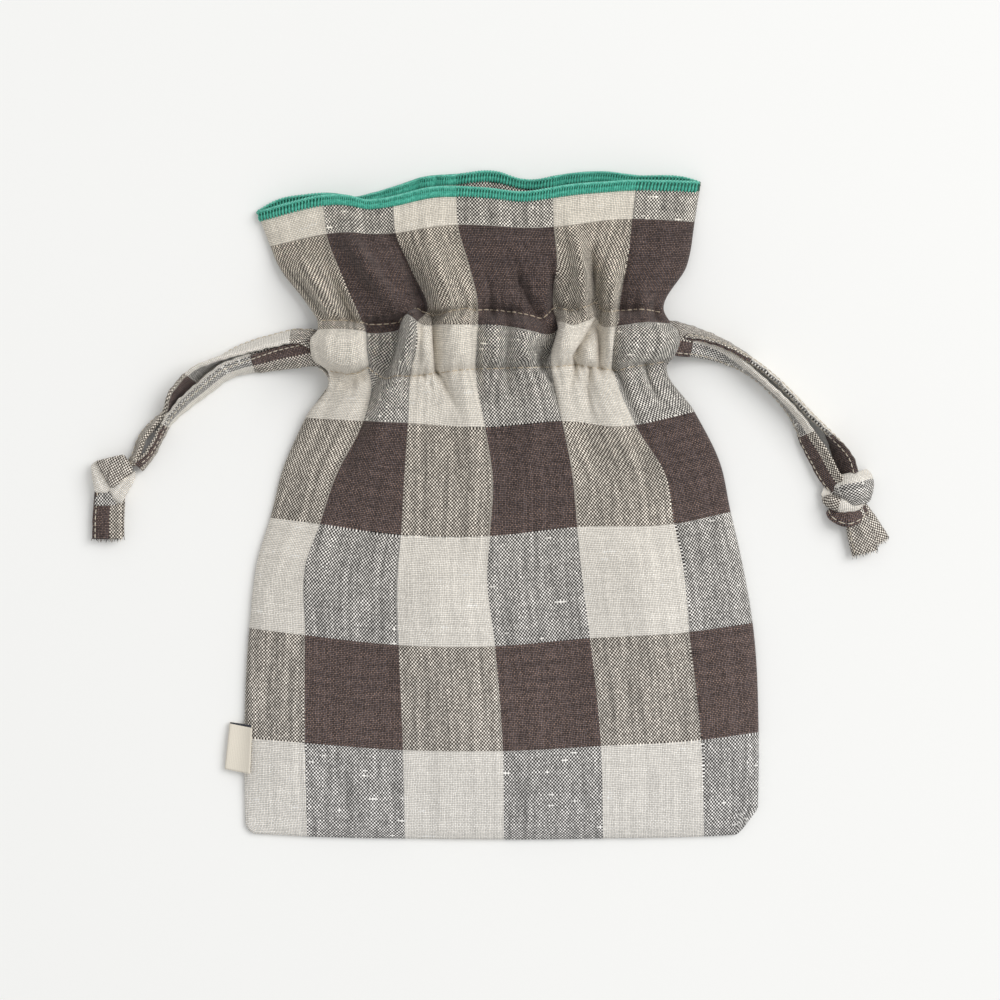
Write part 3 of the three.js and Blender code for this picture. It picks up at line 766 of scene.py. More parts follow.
# Where the side seams and the stripes between them lie, level by level up the cloth.
front_lie = {
    0: [(246, 833), (307, 836), (405, 838), (504, 839), (603, 838), (704, 836), (757, 833)],
    35: [(245, 738), (305, 743), (403, 750), (503, 751), (601, 746), (701, 740), (758, 732)],
    77.5: [(250, 628), (305, 635), (399, 645), (495, 646), (590, 638), (689, 632), (752, 623)],
    105: [(259, 557), (306, 563), (398, 574), (487, 575), (581, 566), (682, 562), (739, 551)],
    120: [(271, 518), (320, 524), (401, 535), (490, 536), (577, 527), (674, 524), (730, 512)],
    141: [(284, 468), (338, 472), (404, 479), (493, 481), (572, 474), (665, 474), (719, 462)],
    162.5: [(306, 418), (364, 421), (408, 423), (485, 427), (562, 421), (635, 425), (694, 412)],
    LOWER_ROW: [(326, 375), (371, 374), (411, 376), (475, 372), (552, 368), (614, 368), (667, 366)],
    190: [(314, 363), (370, 363), (413, 364), (475, 360), (551, 358), (615, 357), (674, 356)],
    195: [(311, 350), (370, 352), (416, 352), (476, 349), (550, 350), (617, 348), (679, 344)],
    200: [(311, 339), (369, 342), (417, 337), (477, 337), (553, 339), (618, 336), (678, 333)],
    205: [(318, 330), (367, 332), (417, 322), (478, 325), (556, 328), (619, 325), (671, 324)],
    UPPER_ROW: [(318, 321), (363, 323), (426, 315), (478, 310), (553, 313), (619, 310), (664, 313)],
    228: [(283, 272), (340, 270), (411, 268), (470, 268), (557, 266), (627, 265), (686, 266)],
    247.5: [(271, 246), (327, 234), (396, 233), (458, 225), (554, 227), (632, 219), (694, 222)],
    FRONT_TOP: [(258, 212), (322, 196), (393, 197), (456, 187), (553, 188), (636, 181), (700, 182)],
}
# How far the mouth edge waves down the picture, in pixels, at places across the cloth.
front_rim = {
    0: 0, 23.8: 0, 36: 2, 47: 5, 56: 2, 62.4: 0, 85: -2.5, 101: 0, 114.5: 2, 128.5: 4.5, 136: 1.5,
    139.6: 0, 170: 0, SEAM_TO_SEAM: 0,
}
RIM_WAVE = 28.0
RIM_FADE = 1.5
# The same at two levels of the casing, each near one of its rows.
CASING_WAVE = 10.0
casing_waves = {
    206: {
        0: 0, 12: -2, 23.8: 0, 34: 3, 43: 2, 50: -3, 55: -9, 59: -5, 62.4: 0, 82: 2, 101: 0, 120: 1,
        128: 4, 134: 6, 139.6: -5, 150: -2, 160: -6, 166: -8, 169: -1, 178.2: 1, 190: -2,
        SEAM_TO_SEAM: 0,
    },
    LOWER_ROW: {
        0: -1, 6: 1, 12: 5, 18: 3, 23.8: -3, 34: 4, 50: 0, 62.4: 0, 80: -2, 101: -3, 120: -2,
        139.6: -1, 155: -3, 170: 0, 178.2: 2, 190: 1, SEAM_TO_SEAM: -1,
    },
}
# The bottom corners: how far each is turned in, and how round it is, 1 being a straight cut.
LEFT_CORNER = (4.2, 2.0)
RIGHT_CORNER = (8.8, 1.15)
NEARLY_NOTHING = 1e-9
# How high the cloth lies along its middle and along its side edges.
front_middle = {
    0: 1.5, 3: 3.9, 8: 5.9, 20: 8.5, 55: 10.8, 120: 11.4, 150: 13.0, 170: 15.4, LOWER_ROW: 17.0,
    197: 18.8, UPPER_ROW: 16.2, 228: 15.0, 247: 12.4, FRONT_TOP: 9.6,
}
front_edges = {
    0: 1.4, 100: 1.5, 140: 1.6, 160: 3.2, 174: 6.0, 181: 7.4, LOWER_ROW: 8.8, 190: 11.8,
    197: 13.2, 204: 11.8, UPPER_ROW: 8.8, 213: 6.8, 225: 4.2, 240: 2.6, FRONT_TOP: 1.8,
}
# Folds: half width, sharpness, then pixel across, pixel down and height along each one.
front_folds = [
    (3.0, 1.5, [(380, 225, -0.4), (399, 250, -1.8), (411, 272, -2.6), (420, 294, -2.8),
                (426, 314, -2.0)]),
    (3.4, 2.0, [(340, 225, 0.5), (353, 245, 2.0), (372, 275, 2.6), (391, 302, 1.6)]),
    (5.0, 2.0, [(430, 240, 0.6), (438, 265, 2.2), (445, 300, 2.0), (455, 318, 1.0)]),
    (2.2, 1.5, [(516, 262, -0.3), (519, 282, -1.6), (530, 303, -1.8), (535, 314, -1.0)]),
    (1.8, 1.3, [(552, 262, -0.3), (553, 290, -2.2), (556, 318, -3.6), (552, 335, -3.6),
                (544, 358, -2.6)]),
    (3.2, 2.0, [(572, 225, 0.6), (578, 245, 2.0), (582, 272, 2.8), (584, 306, 2.0)]),
    (2.0, 1.5, [(590, 248, -0.8), (593, 275, -3.2), (597, 312, -3.4), (602, 335, -3.6),
                (603, 368, -1.8)]),
    (2.6, 2.0, [(608, 262, 0.6), (612, 290, 1.5), (612, 320, 1.5)]),
    (1.8, 1.5, [(626, 258, -0.3), (623, 282, -1.5), (619, 309, -1.8)]),
    (2.6, 2.0, [(641, 290, 0.6), (646, 310, 1.4), (650, 322, 0.8)]),
    (1.5, 1.5, [(660, 296, -0.3), (656, 308, -1.5), (655, 320, -1.0)]),
    (0.9, 1.5, [(642, 324, -0.7), (654, 317, -1.2), (666, 309, -0.6)]),
    (0.9, 1.5, [(650, 326, -0.7), (661, 320, -1.2), (671, 315, -0.5)]),
    (3.0, 2.0, [(300, 262, 0.5), (318, 290, 1.4), (334, 314, 1.2)]),
    (2.0, 1.5, [(322, 262, -0.3), (338, 292, -1.4), (350, 318, -1.6)]),
    (2.0, 1.5, [(487, 275, -0.2), (488, 300, -1.2), (492, 316, -1.0)]),
    (9.0, 3.0, [(334, 350, 2.4), (350, 350, 2.4)]),
    (2.4, 1.8, [(312, 368, -2.4), (327, 377, -2.6), (347, 382, -2.6), (371, 373, -2.2)]),
    (2.6, 1.5, [(376, 328, -3.0), (377, 350, -3.6), (379, 374, -3.0), (364, 420, -1.6),
                (345, 470, -0.5)]),
    (2.2, 1.5, [(394, 324, -2.6), (391, 345, -3.0), (385, 368, -2.2)]),
    (5.0, 2.4, [(383, 330, -1.6), (383, 352, -1.8), (382, 374, -1.2)]),
    (2.3, 2.4, [(412, 315, 2.4), (411, 335, 2.8), (402, 362, 2.0), (394, 396, 0.6)]),
    (1.6, 1.4, [(420, 318, -0.6), (419, 345, -0.6), (422, 372, -0.6), (432, 388, -0.4)]),
    (4.4, 2.6, [(427, 330, 1.2), (427, 352, 1.6), (427, 366, 0.8)]),
    (1.7, 1.4, [(436, 316, -3.0), (437, 345, -3.2), (438, 372, -2.2), (449, 392, -1.0),
                (458, 412, -0.3)]),
    (6.0, 2.2, [(457, 334, 2.0), (458, 352, 2.2), (458, 366, 1.2)]),
    (1.6, 1.5, [(478, 318, -1.2), (477, 345, -1.4), (476, 374, -1.6), (478, 400, -0.6)]),
    (3.6, 2.0, [(492, 330, 1.2), (494, 352, 1.4), (494, 368, 0.6)]),
    (1.5, 1.5, [(507, 314, -1.4), (508, 340, -1.2), (506, 370, -1.4), (508, 392, -0.5)]),
    (3.8, 2.0, [(524, 328, 1.6), (524, 350, 1.4), (522, 368, 0.6)]),
    (2.4, 1.6, [(549, 330, -2.4), (541, 356, -2.4)]),
    (1.5, 1.5, [(538, 348, -1.6), (542, 366, -2.0), (553, 384, -1.4), (560, 420, -0.5)]),
    (4.6, 2.2, [(568, 328, 1.8), (566, 348, 2.2), (563, 364, 1.0)]),
    (1.5, 1.4, [(598, 324, -2.0), (589, 340, -2.8), (577, 358, -2.2), (572, 384, -0.6)]),
    (2.4, 2.0, [(588, 350, 1.4), (590, 364, 0.8)]),
    (2.8, 2.0, [(611, 330, 1.4), (611, 350, 1.6), (609, 366, 0.8)]),
    (1.5, 1.4, [(619, 326, -1.6), (618, 348, -2.0), (616, 370, -2.2), (628, 400, -1.0),
                (648, 440, -0.4)]),
    (9.0, 2.6, [(640, 346, 2.0), (664, 344, 2.0)]),
    (1.6, 1.5, [(645, 366, -1.4), (650, 384, -1.0), (662, 410, -0.4)]),
    (1.6, 1.5, [(590, 368, -1.6), (588, 388, -1.0), (590, 412, -0.3)]),
    (2.0, 1.5, [(338, 372, -1.4), (330, 396, -0.8), (318, 424, -0.3)]),
    (5.0, 2.0, [(386, 384, 1.0), (382, 420, 0.9), (372, 470, 0.5)]),
    (5.0, 2.0, [(464, 384, 1.0), (470, 424, 0.8), (474, 470, 0.4)]),
    (5.0, 2.0, [(536, 380, 0.9), (534, 420, 0.8), (530, 470, 0.4)]),
    (5.0, 2.0, [(604, 384, 1.0), (612, 420, 0.9), (630, 470, 0.4)]),
    (14.0, 2.0, [(440, 600, 1.2), (452, 700, 0.8)]),
    (12.0, 2.0, [(640, 560, 1.2), (652, 660, 0.8)]),
    (14.0, 2.0, [(332, 640, -0.9), (350, 720, -0.6)]),
    (12.0, 2.0, [(556, 600, -1.0), (560, 720, -0.7)]),
]
# Valleys that lean under the cloth beside them: half width, sharpness, then pixel across and down,
# and how many pixels the cloth is pushed across and down.
front_leans = [
    (2.4, 1.8, [(374, 328, -7, 0), (375, 350, -8, 0), (378, 372, -6, -2)]),
    (2.0, 1.8, [(394, 324, 6, 0), (391, 345, 6, 0), (385, 368, 4, 0)]),
    (1.5, 1.8, [(436, 318, -4, 0), (437, 345, -4, 0), (438, 370, -3, 0)]),
    (2.4, 1.8, [(550, 328, 7, 0), (543, 352, 7, 0)]),
    (1.6, 1.8, [(598, 324, -4, -3), (589, 340, -5, -3), (577, 358, -4, -3)]),
    (1.4, 1.8, [(602, 330, -4, 0), (603, 364, -3, 0)]),
    (1.6, 1.8, [(619, 328, -4, 0), (618, 348, -5, 0), (616, 368, -4, 0)]),
    (2.2, 1.8, [(312, 367, 2, -4), (327, 376, 1, -5), (347, 381, 0, -6), (368, 374, -2, -5)]),
    (1.8, 1.8, [(628, 367, 0, -3), (664, 365, 0, -4)]),
    (1.6, 1.8, [(428, 315, 0, -3), (466, 312, 0, -3)]),
]
FOLD_DEPTH = 2.4
PUCKER_LENGTH = 5.2
PUCKER_HEIGHT = 0.6
row_dents = {LOWER_ROW: 2.2, UPPER_ROW: 3.4}
ROW_WIDTH = 1.9
PUCKER_REACH = 7.0
# Waves that make the gathers uneven: the height, length and start of each.
row_sways = {
    LOWER_ROW: [(1.6, 11.0, 0.4), (0.9, 4.3, 0.8)],
    UPPER_ROW: [(1.6, 11.0, 1.9), (0.9, 4.3, 3.8)],
}
CRUMPLE = 0.0042
CRUMPLE_SEED = 4
CRUMPLE_BEND = 0.8
CRUMPLE_BEND_TURNS = 0.37
crumple_lengths = np.geomspace(9, 34, 12)
CROWN_FLATNESS = 3.5
CROWN_FALL = 0.55
# How fast the folds fade towards the side seams, and how far above the bottom seam they start.
SIDE_FADE = 12
BOTTOM_FADE = 12
# How high the cloth lies at least over the drawstrings, and where past the rows that starts.
RUN_COVER = 8.7
COVER_PAST = 6.0
COVER_FADE = 3.0
COVER_SHARPNESS = 3.0
# How far along a thread its place is evened out, so that it runs straight over small gathers.
STRAIGHT_RUN = 5.0


def along_lines(plan, lines):
    """What lines drawn over the picture add at its points, fading to both sides of each."""
    total = 0
    for wide, sharp, line in lines:
        line = np.array(line, float)
        nearest = np.full(plan.shape[:-1], np.inf)
        value = np.zeros((*plan.shape[:-1], line.shape[1] - 2))
        for start, end in zip(line[:-1], line[1:]):
            way = end[:2] - start[:2]
            share = np.clip(((plan - start[:2]) @ way) / (way @ way), 0, 1)[..., None]
            away = np.linalg.norm(plan - start[:2] - share * way, axis=-1) * PIXEL
            closer = away < nearest
            nearest = np.where(closer, away, nearest)
            value = np.where(closer[..., None], start[2:] + share * (end[2:] - start[2:]), value)
        total = total + value * np.exp(-((nearest / wide) ** sharp))[..., None]
    return total


def swayed(u, waves):
    return sum(height * np.sin(u / length + start) for height, length, start in waves)


def puckers(u, v):
    """Small gathers along the two sewn rows, fading above and below them, and the rows' dents."""
    wave = np.zeros(np.broadcast(u, v).shape)
    for row, sways in row_sways.items():
        near = np.exp(-np.abs(v - row) / PUCKER_REACH)
        gathers = np.sin(2 * np.pi * u / PUCKER_LENGTH + swayed(u, sways))
        wave += near * PUCKER_HEIGHT * gathers
        wave -= row_dents[row] * np.exp(-(((v - row) / ROW_WIDTH) ** 2))
    return wave


def crumples(u, v):
    """The soft unevenness of washed linen: shallow waves in many directions."""
    chance = np.random.default_rng(CRUMPLE_SEED)
    total = np.zeros(np.broadcast(u, v).shape)
    for length in crumple_lengths:
        way = chance.uniform(0, 2 * np.pi)
        swing = 2 * np.pi * (u * np.cos(way) + v * np.sin(way)) / length
        bend = CRUMPLE_BEND * np.sin(swing * CRUMPLE_BEND_TURNS)
        total += CRUMPLE * length * np.sin(swing + chance.uniform(0, 6) + bend)
    return total


def by_level(table, v):
    knots, values = np.array(list(table), float), np.array(list(table.values()), float)
    return flow(knots, values[:, None], v.ravel()).reshape(v.shape)


def turned_in(u, v, reach, power):
    """How far a corner of the cloth is turned in, across and up, at places near it."""
    from_inside = np.clip(1 - np.stack(np.broadcast_arrays(u, v)) / reach, 0, 1)
    far = from_inside.max(0)
    round_far = np.maximum((from_inside**power).sum(0) ** (1 / power), NEARLY_NOTHING)
    return reach * from_inside * (1 - far / round_far)


def counted_from(run, places, edges):
    """Places as threads are counted: by length along the cloth, from the middle of each stripe."""
    edges = np.array(edges)
    stripe = np.clip(np.searchsorted(edges, places, side="right") - 1, 0, len(edges) - 2)
    middles = (edges[stripe] + edges[stripe + 1]) / 2
    return middles + run - np.interp(middles, places, run)


def evened(values, axis, passes):
    """Values on a grid, each moved towards the ones beside it along an axis, over and over."""
    values = np.moveaxis(values, axis, 0)
    for _ in range(passes):
        beside = np.concatenate([values[:1], values, values[-1:]])
        values = (beside[:-2] + 2 * values + beside[2:]) / 4
    return np.moveaxis(values, 0, axis)


def spread_out(lie, rim, leans, heights, grid):
    """The cloth's grid: points, the place of each on the flat cloth, and that by thread count."""
    levels = np.array(list(lie))
    top = levels[-1]
    places = np.array(list(lie.values()), float)
    v = np.linspace(0, top, int(top / grid) + 1)
    u = np.linspace(0, SEAM_TO_SEAM, int(SEAM_TO_SEAM / grid) + 1)
    fine = np.unique(np.concatenate([np.linspace(0, SEAM_TO_SEAM, FINE_PLACES), stripe_edges]))
    stripes = flow(levels, places.reshape(len(levels), -1), v).reshape(len(v), -1, 2)
    across = stripes.transpose(1, 0, 2).reshape(len(stripe_edges), -1)
    plan = flow(stripe_edges, across, fine).reshape(len(fine), len(v), 2).transpose(1, 0, 2)
    near_rim = np.clip(1 - (top - v[:, None]) / RIM_WAVE, 0, 1) ** RIM_FADE
    plan[..., 1] += by_level(rim, fine) * near_rim
    for level, wave in casing_waves.items():
        near_row = np.exp(-(((v[:, None] - level) / CASING_WAVE) ** 2))
        plan[..., 1] += by_level(wave, fine) * near_row
    left = turned_in(fine, v[:, None], *LEFT_CORNER)
    right = turned_in(SEAM_TO_SEAM - fine, v[:, None], *RIGHT_CORNER)
    plan[..., 0] += (left[0] - right[0]) / PIXEL
    plan[..., 1] -= (left[1] + right[1]) / PIXEL
    laid = seen(plan + along_lines(plan, leans), heights(plan, fine, v[:, None]))
    run = run_along(laid, axis=1)
    at_stripes = np.searchsorted(fine, stripe_edges)
    points = np.zeros((len(v), len(u), 3))
    counted = np.zeros((len(v), len(u), 2))
    for row in range(len(v)):
        wanted = np.interp(u, stripe_edges, run[row, at_stripes])
        counted[row, :, 0] = counted_from(wanted, u, stripe_edges)
        for axis in range(3):
            points[row, :, axis] = np.interp(wanted, run[row], laid[row, :, axis])
    rise = run_along(points)
    for column in range(len(u)):
        counted[:, column, 1] = counted_from(rise[:, column], v, weft_edges)
    passes = int(2 * (STRAIGHT_RUN / grid) ** 2)
    counted[..., 0] = evened(counted[..., 0], 0, passes)
    counted[..., 1] = evened(counted[..., 1], 1, passes)
    return points, u, v, counted


def across_share(plan):
    """From -1 at the left seam to 1 at the right one."""
    left, right = plan[:, :1, 0], plan[:, -1:, 0]
    return (2 * plan[..., 0] - left - right) / (right - left)


def front_heights(plan, u, v):
    middle, edge = by_level(front_middle, v), by_level(front_edges, v)
    off_middle = np.abs(across_share(plan))
    crown = np.clip(1 - off_middle**CROWN_FLATNESS, 0, 1) ** CROWN_FALL
    folded = FOLD_DEPTH * along_lines(plan, front_folds)[..., 0]
    raised = folded + puckers(u, v) + crumples(u, v)
    ends = np.clip((1 - off_middle) * SIDE_FADE, 0, 1)
    closed = np.clip(v / BOTTOM_FADE, 0, 1)
    free = edge + (middle - edge) * crown + raised * ends * closed
    above_lower = np.clip((v - LOWER_ROW + COVER_PAST) / COVER_FADE, 0, 1)
    below_upper = np.clip((UPPER_ROW + COVER_PAST - v) / COVER_FADE, 0, 1)
    raised_more = np.logaddexp(0, (free - RUN_COVER) * COVER_SHARPNESS) / COVER_SHARPNESS
    return free + (RUN_COVER + raised_more - free) * above_lower * below_upper * ends


class Cloth:
    """A grid of cloth that thread can be sewn to: places on it by u and v, and height off it."""

    def __init__(self, points, u, v, counted=None):
        self.points, self.u, self.v = points, u, v
        self.counted = np.stack(np.meshgrid(u, v), -1) if counted is None else counted
        along_v, along_u = np.gradient(points, v, u, axis=(0, 1))
        self.normals = unit(np.cross(along_u, along_v))
        self.rise = along_v

    def at(self, u, v, off):
        """Points off the cloth. A place past its top edge goes straight on."""
        u, v, off = np.broadcast_arrays(u, v, off)
        held = np.clip(v, self.v[0], self.v[-1])
        column = np.clip(u / (self.u[1] - self.u[0]), 0, len(self.u) - 1.001)
        row = np.clip(held / (self.v[1] - self.v[0]), 0, len(self.v) - 1.001)
        i, j = row.astype(int), column.astype(int)
        a, b = (row - i)[..., None], (column - j)[..., None]

        def read(grid):
            lower = grid[i, j] * (1 - b) + grid[i, j + 1] * b
            upper = grid[i + 1, j] * (1 - b) + grid[i + 1, j + 1] * b
            return lower * (1 - a) + upper * a

        beyond = (v - held)[..., None] * unit(read(self.rise))
        return read(self.points) + beyond + unit(read(self.normals)) * off[..., None]


def sheet_of_quads(rows, columns):
    """Faces between points in rows and columns."""
    number = np.arange(rows * columns).reshape(rows, columns)
    corners = (number[:-1, :-1], number[:-1, 1:], number[1:, 1:], number[1:, :-1])
    return np.stack(corners, -1).reshape(-1, 4).tolist()


def sheet_piece(name, cloth, shift, material):
    faces = sheet_of_quads(*cloth.points.shape[:2])
    flat = np.stack(np.meshgrid(cloth.u, cloth.v), -1)
    weave = np.concatenate([flat + shift, cloth.counted + shift], -1)
    piece = add_piece(name, cloth.points.reshape(-1, 3), faces, [material], weave.reshape(-1, 4))
    body = piece.modifiers.new("thickness", "SOLIDIFY")
    body.thickness = CLOTH_THICKNESS * METRES
    body.offset = 0
    return piece


pouch_linen = linen("checked_linen", fineness=1.0)
front = Cloth(*spread_out(front_lie, front_rim, front_leans, front_heights, FRONT_GRID))
front_piece = sheet_piece("front_cloth", front, (0, 0), pouch_linen)


def open_with_mouth(piece):
    """Bake the piece's placement into its mesh."""
    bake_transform(piece)


open_with_mouth(front_piece)
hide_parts("front_panel", "front_collar")

# Back cloth. The same linen lying on the surface, joined to the front along the sides and the
# bottom. Its mouth edge shows above the front one, and it is gathered at the casing too.
BACK_TOP = 268.0
back_lie = {level: places for level, places in front_lie.items() if level < FRONT_TOP}
back_lie[BACK_TOP] = [
    (257, 213), (322, 194), (393, 188), (456, 175), (553, 177), (636, 176), (701, 183),
]
back_rim = {
    0: -1, 6.6: -6, 17.5: -3, 30: 3, 39: 8, 50: 4.5, 62: 0, 79: -3, 101: 0, 118.5: -2.5, 126.5: 3.5,
    132.4: 3.7, 139.6: 0, 164: -3, 178: 0, 196.7: -2.5, SEAM_TO_SEAM: 0,
}
back_gather = {
    0: 0.0, 80: 0.1, 120: 0.3, 160: 2.0, LOWER_ROW: 2.3, 197: 2.3, UPPER_ROW: 2.3, 235: 2.0,
    BACK_TOP: 1.4,
}
back_edges = {
    0: 0.8, 100: 0.9, 140: 1.0, 160: 2.5, 174: 5.3, 181: 6.5, LOWER_ROW: 5.2, 190: 3.0,
    197: 2.4, 204: 3.0, UPPER_ROW: 5.2, 213: 6.0, 225: 3.5, 240: 1.9, BACK_TOP: 1.0,
}
BACK_GRID = 1.2
back_floor = {0: 0.55, 236: 0.55, 254: 0.75, BACK_TOP: 1.1}
PLEAT_LENGTH = 15.0
pleat_sways = [(1.4, 17.0, 0.0), (0.8, 7.9, 1.0)]
PLEAT_FADE = 10
EDGE_RISE = 9


def back_heights(plan, u, v):
    off_middle = np.abs(across_share(plan))
    pleats = 0.5 + 0.5 * np.sin(2 * np.pi * u / PLEAT_LENGTH + swayed(u, pleat_sways))
    ends = np.clip((1 - off_middle) * PLEAT_FADE, 0, 1)
    flat = by_level(back_floor, v) + by_level(back_gather, v) * pleats * ends
    return flat + (by_level(back_edges, v) - flat) * off_middle**EDGE_RISE


back = Cloth(*spread_out(back_lie, back_rim, [], back_heights, BACK_GRID))
back_piece = sheet_piece("back_cloth", back, (0, 0), pouch_linen)
dress(back_piece, "pouch", "back_panel")

# Mouth edging. Green thread overlocked round both raw mouth edges: loops lie side by side over the
# edge on a bed of dark green thread, painted darker still as the shadow between the loops, and a
# chain of thread lies along the edge.
SOFT_TWIST = 0.9
green_thread = thread_material("edging_thread", paint(98, 200, 176), paint(44, 146, 124), SOFT_TWIST)
green_chain = thread_material("edging_chain", paint(134, 220, 198), paint(78, 176, 154), SOFT_TWIST)
# The bed under the loops: dark green thread, painted darker still as the shadow between the loops.
green_bed_shadow = thread_material("edging_bed_shadow", paint(30, 112, 92), paint(12, 78, 62), SOFT_TWIST)
LOOP_PITCH = 1.15
FIRST_LOOP = 0.3
LAST_LOOP = 1.2
BED_GRID = 1.0
EDGING_WIDTH = 4.2
loop_radii = np.array([0.24, 0.42, 0.56, 0.54, 0.24, 0.42, 0.36, 0.34, 0.34, 0.4, 0.4])
CHAIN_RADIUS = 0.36


def edging(name, cloth, top):
    """Loops, chain and bed along a mouth edge: places by u, v and height off the cloth."""
    inside = top - EDGING_WIDTH
    over = [(0.0, inside, 0.36), (0.06, inside + 0.5, 0.6), (0.16, inside + 1.2, 0.66),
            (0.28, inside + 1.9, 0.64), (0.4, top - 1.5, 0.5), (0.5, top - 0.8, 0.6)]
    round_edge = [(0.46, top + 0.25, 0.3), (0.5, top + 0.3, -0.2), (0.55, top - 0.6, -0.6)]
    under = [(0.75, inside + 1.6, -0.62), (1.0, inside, -0.4)]
    chain = [(-0.1, top - 0.7, 0.8), (0.3, top - 0.05, 0.86), (0.75, top - 0.05, 0.86),
             (1.15, top - 0.7, 0.8)]
    bed = [(inside + 0.5, 0.3), (inside + 0.8, 0.46), (top - 0.6, 0.52), (top + 0.2, 0.3),
           (top + 0.3, 0.0), (top + 0.2, -0.3), (top - 0.6, -0.52), (inside, -0.4)]
    bed_v, bed_off = np.array(bed).T[:, :, None]
    bed_u, bed_v = np.meshgrid(np.arange(0, SEAM_TO_SEAM, BED_GRID), bed_v)
    points = cloth.at(bed_u, bed_v, bed_off).reshape(-1, 3)
    faces = sheet_of_quads(*bed_u.shape)
    finishes = [1] * len(faces)
    on_cloth = np.stack([bed_u, bed_v], -1).reshape(-1, 2)
    starts = np.arange(FIRST_LOOP, SEAM_TO_SEAM - LAST_LOOP, LOOP_PITCH)[:, None]
    loop = over + round_edge + under
    for line, radius, finish in ((loop, loop_radii, 0), (chain, CHAIN_RADIUS, 2)):
        line = np.array(line)
        u, v = np.broadcast_arrays(starts + line[:, 0], line[:, 1])
        points = sew_on(points, faces, finishes, cloth.at(u, v, line[:, 2]), radius, finish)
        places = np.repeat(np.stack([u, v], -1).reshape(-1, 2), THREAD_SIDES, axis=0)
        on_cloth = np.concatenate([on_cloth, places])
    greens = [green_thread, green_bed_shadow, green_chain]
    return add_piece(name, points, faces, greens, finishes=finishes), *on_cloth.T


front_edging, edging_u, edging_v = edging("front_overlock", front, FRONT_TOP)
open_with_mouth(front_edging)
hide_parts("front_mouth_edging")
back_edging, *_ = edging("back_overlock", back, BACK_TOP)
dress(back_edging, "pouch", "back_mouth_edging")

# Stitch rows. Two rows of lockstitch in pale thread hold each casing strip: short stitches on
# the outside that dip into the cloth at both ends and draw it into a shallow dent.
ROW_PITCH = 2.9
FIRST_STITCH_IN = 2.0
LAST_STITCH_IN = 4.0
ROW_STITCH = 2.5
ROW_RADIUS = 0.2
row_rise = np.array([0.0, 0.28, 0.34, 0.34, 0.28, 0.0])
tan_thread = thread_material("row_thread", paint(224, 210, 186), paint(182, 164, 138), TWIST)
row_starts = np.arange(FIRST_STITCH_IN, SEAM_TO_SEAM - LAST_STITCH_IN, ROW_PITCH)[:, None]
row_u = row_starts + np.linspace(0, ROW_STITCH, len(row_rise))
for side, cloth, outside in (("front", front, 1), ("back", back, -1)):
    for level, v in (("upper", UPPER_ROW), ("lower", LOWER_ROW)):
        row_points, row_faces = threads(cloth.at(row_u, v, outside * row_rise), ROW_RADIUS)
        row = add_piece(f"{side}_{level}_stitches", row_points, row_faces, [tan_thread])
        dress(row, "pouch", f"{side}_{level}_stitch_row")

# Inside the pouch: pressed seam allowances along the sides and the bottom, and the two strips of
# linen that are sewn over the drawstrings to make the casing.
SEAM_WIDTH = 6.0
SEAM_INSET = 3.6
SEAM_LIFT = 0.65
seam_cut = (80.0, 80.0, 80.0, 1.0)
seam_spans = {"side": np.linspace(11, 176, 22), "collar": np.linspace(213, 256, 8)}
seam_places = {}
for part, span in seam_spans.items():
    seam_places[f"left_{part}_seam"] = SEAM_INSET, span
    seam_places[f"right_{part}_seam"] = SEAM_TO_SEAM - SEAM_INSET, span
seam_places["bottom_seam"] = np.linspace(8, SEAM_TO_SEAM - 8, 20), SEAM_INSET
for seam_name, (u, v) in seam_places.items():
    seam, _ = ribbon(
        f"{seam_name}_allowance", back.at(u, v, SEAM_LIFT), 0, SEAM_WIDTH, seam_cut,
        thickness=0.6, waver=0.05, stitched=False, step=2.0,
    )
    dress(seam, "pouch", seam_name)

STRIP_INSET = 0.3
STRIP_SINK = 0.2
STRIP_SLOPE = 0.12
STRIP_SEWN = 0.3
STRIP_RIPPLE = 0.25
RIPPLE_TURNS = 0.55
RIPPLE_BEND = 0.8
RIPPLE_BEND_TURNS = 0.13
strip_cut = (70, 80)
share = np.linspace(0, 1, 25)
bulge = np.clip(np.minimum(share, 1 - share) / STRIP_SLOPE - STRIP_SEWN, 0, 1)[:, None]
for side, inward in (("front", -1), ("back", 1)):
    low, high = node_box(f"{side}_casing_strip")
    sunk = run_sinks[side] - run_sinks["back"]
    sewn = (high[2] if inward < 0 else low[2]) - sunk
    wide, reach, tall = high - low
    x = np.linspace(low[0], high[0], 60)
    strip_x, strip_share = np.meshgrid(x, share)
    bend = RIPPLE_BEND * np.sin(strip_x * RIPPLE_BEND_TURNS)
    ripple = STRIP_RIPPLE * np.sin(strip_x * RIPPLE_TURNS + bend)
    rise = (tall - STRIP_INSET - STRIP_SINK) * inward + ripple
    strip_z = sewn + STRIP_INSET * inward + rise * bulge
    strip_points = np.stack([strip_x, low[1] + strip_share * reach, strip_z], -1)
    strip_cloth = Cloth(strip_points[:, ::inward], x - x[0], share * reach)
    strip = sheet_piece(f"{side}_casing_lining", strip_cloth, strip_cut, pouch_linen)
    dress(strip, "pouch", f"{side}_casing_strip")

# Side label. A short length of cream ribbon folded in two and caught in the left seam near the
# bottom, with its fold outwards. It is left bare.
LABEL_THICKNESS = 0.3
LABEL_LENGTH = 20.0
LABEL_WIDTH = 19.5
RIB_TURNS = 14.0
PLY_TURNS = 9.0
LABEL_LEVEL = 0.9
RIB_LIGHT_AND_SHADE = 0.14
LABEL_UNEVEN = 0.12
LABEL_GRAIN = 2.5
